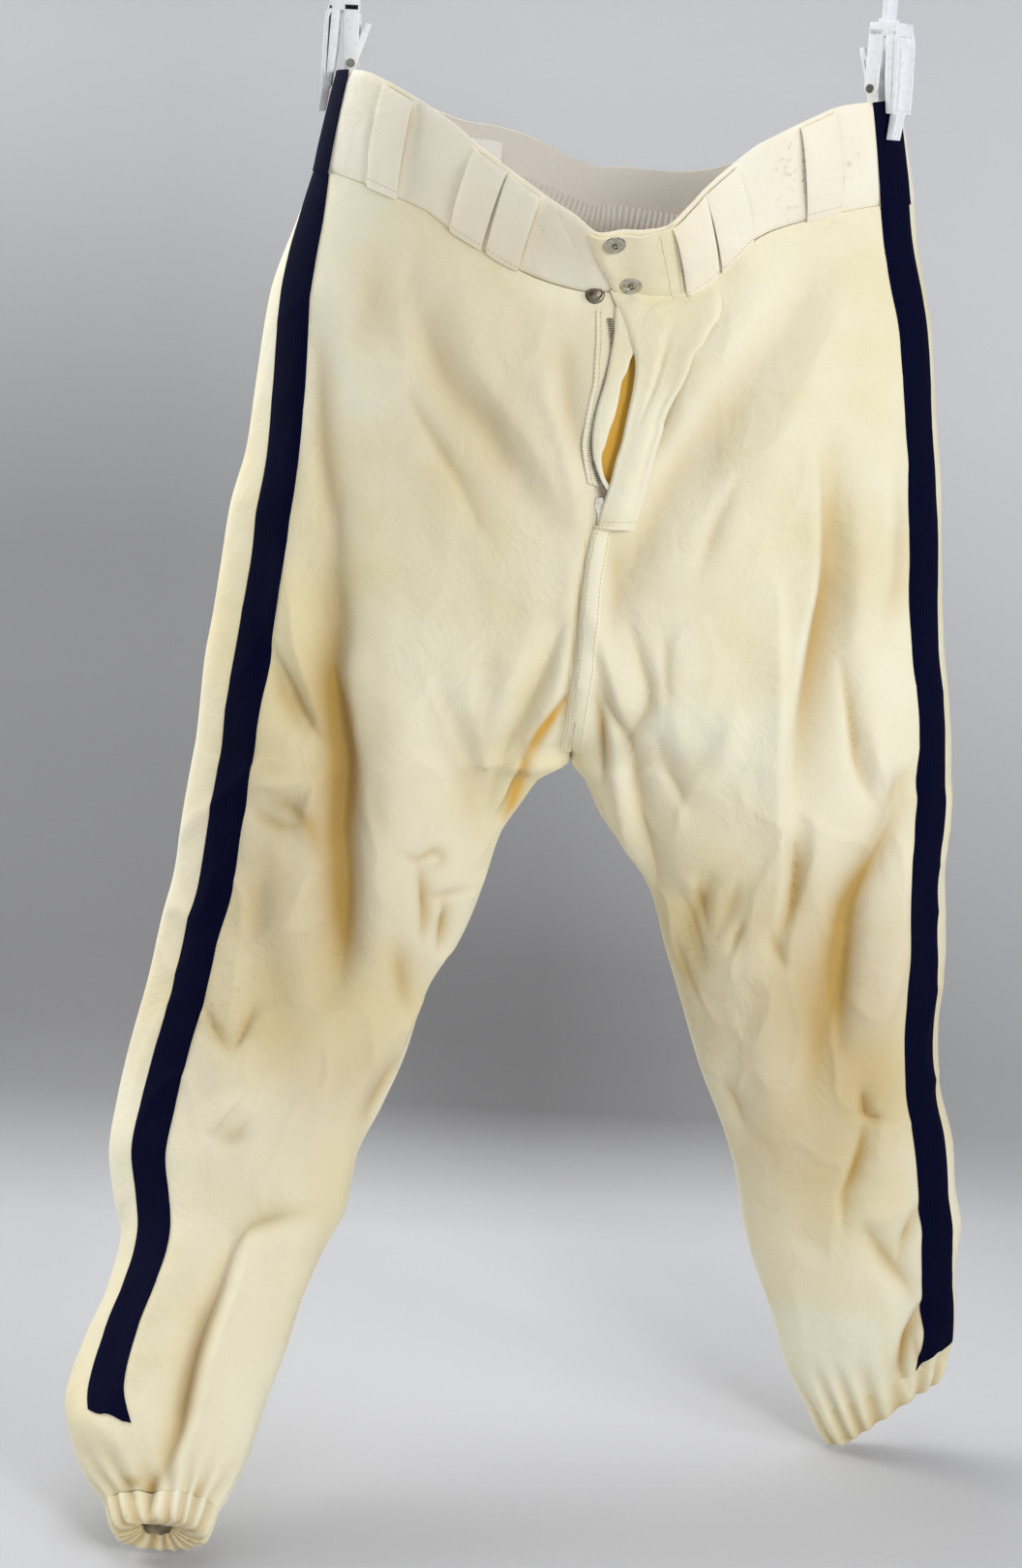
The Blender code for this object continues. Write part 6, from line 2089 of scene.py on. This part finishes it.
@dataclass
class Clip:
    """One moulded spring clip: jaw with its frame, cheeks, foot, lever and strap."""

    side: Side
    wardrobe: Wardrobe
    place: dict = field(default_factory=lambda: {Side.LEFT: (0.0, 0.0),
                                                 Side.RIGHT: (20.0, 37.0)})
    lean: dict = field(default_factory=lambda: {Side.LEFT: 0.21, Side.RIGHT: 0.01})
    press: dict = field(default_factory=lambda: {Side.LEFT: 2.9, Side.RIGHT: 3.7})
    half_width: float = 11.0
    cheek: float = 2.4
    grip: float = 2.9
    tip: float = -13.0

    def build(self) -> None:
        """Make both halves."""
        at, turn = (math.radians(v) for v in self.place[self.side])
        x = RIM_SIDE_X[self.side] * math.cos(at)
        y = -RIM_DEPTH[Face.FRONT] * math.sin(at) ** SECTION_POWER
        out = np.array((self.side.value * math.cos(turn), -math.sin(turn), 0.0))
        origin = np.array((self.side.value * x, y, 0.0))
        self.outer(origin, out)
        self.inner(origin, out)

    def outer(self, origin: np.ndarray, out: np.ndarray) -> None:
        """Jaw, frame, cheeks, foot and strap.

        Args:
            origin: where the clip grips.
            out: unit vector out from the band.
        """
        g, w = self.grip, self.half_width
        low = self.lean[self.side] * (12 - self.tip)
        made = Moulding(origin, out)
        made.add(((g + 1.6, 3), (g + 5.6, 3), (g + 6, 12), (g + 5.2, 46), (g + 3, 52),
                  (0.6, 52), (0.6, 47), (g - 1, 24)), -w, w, 0.8)
        for edge in (-1, 1):
            rail = sorted((edge * w, edge * (w - 2.6)))
            made.add(((g + 4.5, 3), (g + 7.4, 3), (g + 7.9, 12), (g + 7.1, 47), (g + 5, 54),
                      (g + 2, 54)), *rail, 0.7)
            cheek = sorted((edge * w, edge * (w - self.cheek)))
            made.add(((-2, 55), (-12, 55), (-12.6, 19), (-11, 14.5), (-7.8, 13), (-4.6, 14.5),
                      (-3, 19), (-2, 49)), *cheek, 0.7)
        made.add(((g + 5.6, 50.5), (g + 4.4, 59), (-12, 59), (-12, 50.5)), -w, w, 0.9)
        made.add(((g + 5, 4), (g + 8.2, 5), (g + 8.6, 14), (g + 7.8, 42), (g + 6.6, 45.5),
                  (g + 4, 45.5)), -w + 4.2, w - 4.2, 1.0)
        for at in (-3.7, 0.0, 3.7):
            made.add(((g + 2, 6), (g + low, self.tip), (g + low + 4.3, self.tip), (g + 7.4, 6)),
                     at - 1.65, at + 1.65, 0.6)
        made.add(((g + 2.4, 6), (g + low + 0.4, self.tip + 1), (g + low + 3.2, self.tip + 1),
                  (g + 6, 6)), -5.0, 5.0, 0.4)
        made.add(((-1.2, 58), (-1.2, 61.5), (-7.8, 61.5), (-7.8, 58)), -7.6, 7.6, 0.7)
        made.add(((-2.4, 60), (-2.4, 98), (-6.6, 98), (-6.6, 60)), -6.2, 6.2, 0.9)
        piece = made.finish(f"clip_{self.side.word}_outer", self.wardrobe.plastic)
        wear(piece, "white_plastic", f"clip_outer_{self.side.word}")

    def inner(self, origin: np.ndarray, out: np.ndarray) -> None:
        """Inner jaw and lever, and the spring wire beside it.

        Args:
            origin: where the clip grips.
            out: unit vector out from the band.
        """
        press = -self.press[self.side]
        low = self.lean[self.side] * (12 - self.tip)
        w = self.half_width - self.cheek - 0.5
        made = Moulding(origin, out)
        made.add(((press, 11), (press + low, self.tip), (press + low - 3.3, self.tip),
                  (press - 7.5, 10), (press - 9.5, 20), (-20, 43), (-16.5, 44), (press - 5, 23.5),
                  (press - 2, 20)), -w, w, 0.7)
        piece = made.finish(f"clip_{self.side.word}_inner", self.wardrobe.plastic)
        wear(piece, "white_plastic", f"clip_inner_{self.side.word}")
        along = np.cross((0.0, 0.0, 1.0), out)
        path = smooth_path(((-10.5, 20), (-12.6, 27), (-15.4, 36)), 12)
        points = np.array([origin + out * u + along * -(w + 0.1) + (0, 0, z) for u, z in path])
        verts, faces = wire(points, 0.5)
        wear(plain_mesh(f"clip_{self.side.word}_spring", verts, faces,
                        self.wardrobe.chrome), "nickel")


@dataclass
class Hems:
    """Elastic hems: gathered rings with open ends."""

    legs: dict[Side, LegForm]
    wardrobe: Wardrobe
    columns: int = 220
    rows: int = 16
    roll_rows: int = 8
    roll_depth: float = 2.6
    # Waves of the rolled edge: how large, how many round it and where they begin.
    lobes: tuple = ((0.3, 1, -2.2), (0.16, 3, 1))
    curl: dict = field(default_factory=lambda: {Side.LEFT: 0.62, Side.RIGHT: 0.45})

    def build(self) -> None:
        """Make both hems."""
        for side, leg in self.legs.items():
            h = np.linspace(leg.panel_end, leg.hem_end, self.rows)[:, None]
            theta = np.linspace(-math.pi, math.pi, self.columns, endpoint=False)[None, :]
            plain = leg.plain(theta, h)
            folded, _ = leg.surface(theta, h)
            normal = outward_normals(plain, None, ring=True)
            share = np.linspace(0, 1, self.rows)
            bead = 1.3 * np.sin(share * math.pi) ** 0.7 - 0.4 * share
            grid = folded + normal * bead[:, None, None]
            pinch = leg.gather(theta, h)
            grid = np.concatenate([grid, self.roll(grid, self.curl[side])])
            extra = len(grid) - self.rows
            pinch = np.concatenate([pinch, np.repeat(pinch[-1:], extra, axis=0)])
            share = np.concatenate([share, np.linspace(1.1, 1.8, extra)])
            # towards the rolled edge and in the pleats the knit is painted darker and yellower:
            # painted shade with yellowing; the edge also takes soil specks, and its pleats a
            # faint painted glow of light through the cloth
            dirt = np.broadcast_to(smoothstep(0.5, 1.6, share)[:, None], pinch.shape)
            piece = cloth_wall(f"hem_{side.word}_gathered", grid, 1.4, self.wardrobe.knit,
                               outward_normals(grid, None, ring=True), ring=True,
                               paint={"trough": np.clip(pinch / 7 + 0.3 * dirt, 0, 1),
                                      "stain": 0.6 * dirt,
                                      "glow": 0.12 * np.clip(pinch / 4, 0, 1) * dirt})
            wear(piece, "cream_knit", f"hem_{side.word}")
            plain = np.concatenate([plain, self.roll(plain, self.curl[side])])
            cut = np.concatenate([plain, plain[:, :1]], axis=1)
            declare(piece, cut)

    def roll(self, grid: np.ndarray, inward: float) -> np.ndarray:
        """Rows that turn the hem's edge inwards.

        Args:
            grid: the hem above its edge.
            inward: share of the way to the middle that the edge goes.

        Returns:
            The rows to add below the grid.
        """
        edge, middle = grid[-1], grid[-1].mean(axis=0)
        down = middle - grid[-3].mean(axis=0)
        down = down / np.linalg.norm(down)
        rows = []
        round_it = np.linspace(-math.pi, math.pi, grid.shape[1], endpoint=False)[:, None]
        lobes = sum((size * np.cos(count * round_it + shift)
                     for size, count, shift in self.lobes), start=1)
        for turn in np.linspace(0, math.pi, self.roll_rows + 1)[1:]:
            share = inward * lobes * (1 - math.cos(turn)) / 2
            reach = self.roll_depth * math.sin(turn) - 3.0 * (1 - math.cos(turn))
            rows.append(edge + (middle - edge) * share + down * reach)
        return np.array(rows)


@dataclass
class Hanger:
    """The bar, the clips' pins and the zip's slider keep the solids' shapes."""

    wardrobe: Wardrobe

    def build(self) -> None:
        """Give each solid that shows its finish."""
        for name, solid in frame["nodes"].items():
            if solid.hide_render:
                continue
            finish = self.wardrobe.chrome if name == "hanger" else self.wardrobe.nickel
            solid.material_slots[0].material = finish
            LOG.info("%s keeps its solid", name)


@dataclass
class Studio:
    """Pale floor that sweeps up behind, soft lights and the camera."""

    floor_z: float = -929.5
    lens: float = 36.0 * 2865.0 / 1620.0
    place: tuple = (-39.7, -1858.0, -59.0)
    pitch: float = 12.0
    roll: float = 3.1
    # Painted shade of the paper by distance from the sweep's front edge: at the
    # left, behind the legs and at the right.  It is darker round the bend, where
    # less light falls, and darkest behind the legs, where the pants' shadow is painted.
    painted_paper_shades: tuple = ((0, .55, .62, .66), (2400, .60, .65, .70), (2600, .60, .68, .68),
                    (2800, .60, .70, .64), (2980, .58, .70, .60), (3060, .50, .60, .56),
                    (3130, .40, .42, .44), (3200, .29, .19, .37), (3290, .24, .18, .36),
                    (3380, .24, .19, .39), (3480, .26, .26, .43), (3590, .28, .32, .49),
                    (3680, .31, .38, .56), (3800, .34, .48, .66), (3960, .40, .56, .70),
                    (4120, .44, .58, .70), (4270, .46, .58, .66), (4400, .42, .54, .62),
                    (4700, .36, .46, .56), (6500, .36, .46, .55))

    # Name, place, size, watts and, but for the middle of the pants, the target.
    lamps: tuple = (("front", (900, -1750, 250), 550, 15.5),
                    ("fill", (-350, -1900, -550), 900, 4.5),
                    ("left", (-1750, 350, 200), 800, 21),
                    ("right", (1500, -1100, 350), 800, 9),
                    ("top", (0, -500, 1500), 900, 4),
                    ("paper", (-500, 560, 900), 1300, 16, (100, 460, -930)))
    bend_radius: float = 500.0
    wall_y: float = 900.0
    half_width: float = 3200.0

    def build(self) -> None:
        """Make the backdrop, the lights and the camera."""
        bpy.context.scene.view_settings.view_transform = "Standard"
        self.backdrop()
        for lamp in self.lamps:
            self.light(*lamp)
        surround = bpy.data.worlds.new("surround")
        bpy.context.scene.world = surround
        surround.use_nodes = True
        sky = surround.node_tree.nodes["Background"]
        sky.inputs["Color"].default_value = linear("#DDE1E8")
        sky.inputs["Strength"].default_value = 0.22
        self.camera()

    def backdrop(self) -> None:
        """A paper sweep: floor, bend and wall in one sheet, with painted shade round the bend."""
        radius = self.bend_radius
        profile = [(y, self.floor_z) for y in np.linspace(-2600, 380, 30)]
        profile += [(self.wall_y + radius * math.sin(a) - radius,
                     self.floor_z + radius * (1 - math.cos(a)))
                    for a in np.radians(np.linspace(0, 90, 28))]
        profile += [(self.wall_y, z) for z in np.linspace(-400, 2600, 40)]
        xs = np.linspace(-self.half_width, self.half_width, 65)
        grid = np.array([[(x, y, z) for x in xs] for y, z in profile])
        normal = outward_normals(grid, (0, -1, 1))
        run = np.cumsum([0.0] + [math.dist(a, b) for a, b in zip(profile, profile[1:])])
        keys, *painted_paper_shades = zip(*self.painted_paper_shades)
        rows = [np.interp(run, keys, tone) for tone in painted_paper_shades]
        tone = np.array([np.interp(xs, (-420, 30, 480), three) for three in zip(*rows)])
        made, shader = new_material("backdrop_paper_painted_shade", Roughness=0.95,
                                    Specular_IOR_Level=0.1)
        tree = made.node_tree
        painted_shade_of = add_node(tree, "ShaderNodeAttribute", attribute_name="tone").outputs["Fac"]
        # the paper's tone is painted shade: near black at 0, a cold white at 1
        colour = add_node(tree, "ShaderNodeMix", {
            0: painted_shade_of, 6: linear("#15120D"), 7: linear("#FAFBFF")}, data_type="RGBA")
        tree.links.new(colour.outputs[2], shader.inputs["Base Color"])
        self.open_rear(tree, shader)
        cloth_wall("backdrop", grid, 2.0, made, normal, paint={"tone": tone})

    @staticmethod
    def open_rear(tree: bpy.types.NodeTree, shader: bpy.types.Node) -> None:
        """Let a view from behind the paper look through it; light still stops there.

        Args:
            tree: the paper's nodes.
            shader: its shader.
        """
        facing = add_node(tree, "ShaderNodeNewGeometry").outputs["Normal"]
        side = add_node(tree, "ShaderNodeVectorMath", {0: facing, 1: (0.0, -1.0, 1.0)},
                        operation="DOT_PRODUCT").outputs["Value"]
        rear = add_node(tree, "ShaderNodeMath", {0: side, 1: 0.0}, operation="LESS_THAN")
        path = add_node(tree, "ShaderNodeLightPath").outputs["Is Camera Ray"]
        share = add_node(tree, "ShaderNodeMath", {0: rear, 1: path}, operation="MULTIPLY")
        clear = add_node(tree, "ShaderNodeBsdfTransparent")
        both = add_node(tree, "ShaderNodeMixShader", {0: share, 1: shader, 2: clear})
        tree.links.new(both.outputs[0], tree.nodes["Material Output"].inputs["Surface"])

    def light(self, name: str, place: tuple, size: float, watts: float,
              target: tuple = (0, 0, -420)) -> None:
        """One square soft light, turned to the middle of the pants or another place.

        Args:
            name: the light's name.
            place: where it stands.
            size: of its side.
            watts: its power.
            target: what it faces.
        """
        data = bpy.data.lights.new(name, "AREA")
        data.energy, data.size = watts, size * MM
        lamp = bpy.data.objects.new(name, data)
        lamp.location = world(place)
        aim = Vector(world(target)) - lamp.location
        lamp.rotation_euler = aim.to_track_quat("-Z", "Y").to_euler()
        bpy.context.scene.collection.objects.link(lamp)

    def camera(self) -> None:
        """The camera at the photograph's height and tilt."""
        data = bpy.data.cameras.new("camera")
        data.sensor_width, data.lens = 36.0, self.lens
        data.clip_start, data.clip_end = 0.05, 20.0
        eye = bpy.data.objects.new("camera", data)
        turn = (Matrix.Rotation(math.radians(90 - self.pitch), 4, "X")
                @ Matrix.Rotation(math.radians(self.roll), 4, "Z"))
        eye.matrix_world = Matrix.Translation(world(self.place)) @ turn
        bpy.context.scene.collection.objects.link(eye)
        bpy.context.scene.camera = eye


def main() -> None:
    """Build the pants piece by piece, then what holds and shows them."""
    logging.basicConfig(level=logging.INFO, format="%(message)s")
    for old in list(bpy.data.objects):
        if old.type in ("CAMERA", "LIGHT"):
            bpy.data.objects.remove(old, do_unlink=True)
    wardrobe = Wardrobe.make()
    drape = Drape()
    legs = {Side.LEFT: LegForm(Side.LEFT, LEFT_LEG, -899.0, -911.0),
            Side.RIGHT: LegForm(Side.RIGHT, RIGHT_LEG, -855.0, -871.0)}
    waist = WaistForm(legs=legs)
    plain = Drape()
    for leg in legs.values():
        h = np.linspace(WAIST_SEAM, -450, 120)[:, None]
        start, end = leg.seam_angle(h), leg.wrap_angle(h)
        theta = start + (end - start) * np.linspace(0, 1, 60)
        plain.add_grid(leg.plain(theta, h))
        theta = np.linspace(0.3, math.pi / 2, 60)[None, :]
        plain.add_grid(waist.around(leg.side, theta, np.linspace(0, 1, 12)[:, None]))
    parts = [LegPanels(legs, wardrobe, drape), Waistband(waist, wardrobe, drape),
             BeltLoops(waist, wardrobe), Fly(waist, wardrobe, drape, plain),
             Hems(legs, wardrobe)]
    parts += [Clip(side, wardrobe) for side in Side]
    parts += [Hanger(wardrobe), Studio()]
    for part in parts:
        part.build()
        LOG.info("built %s", type(part).__name__)
    bpy.context.view_layer.update()


if __name__ == "__main__":
    main()
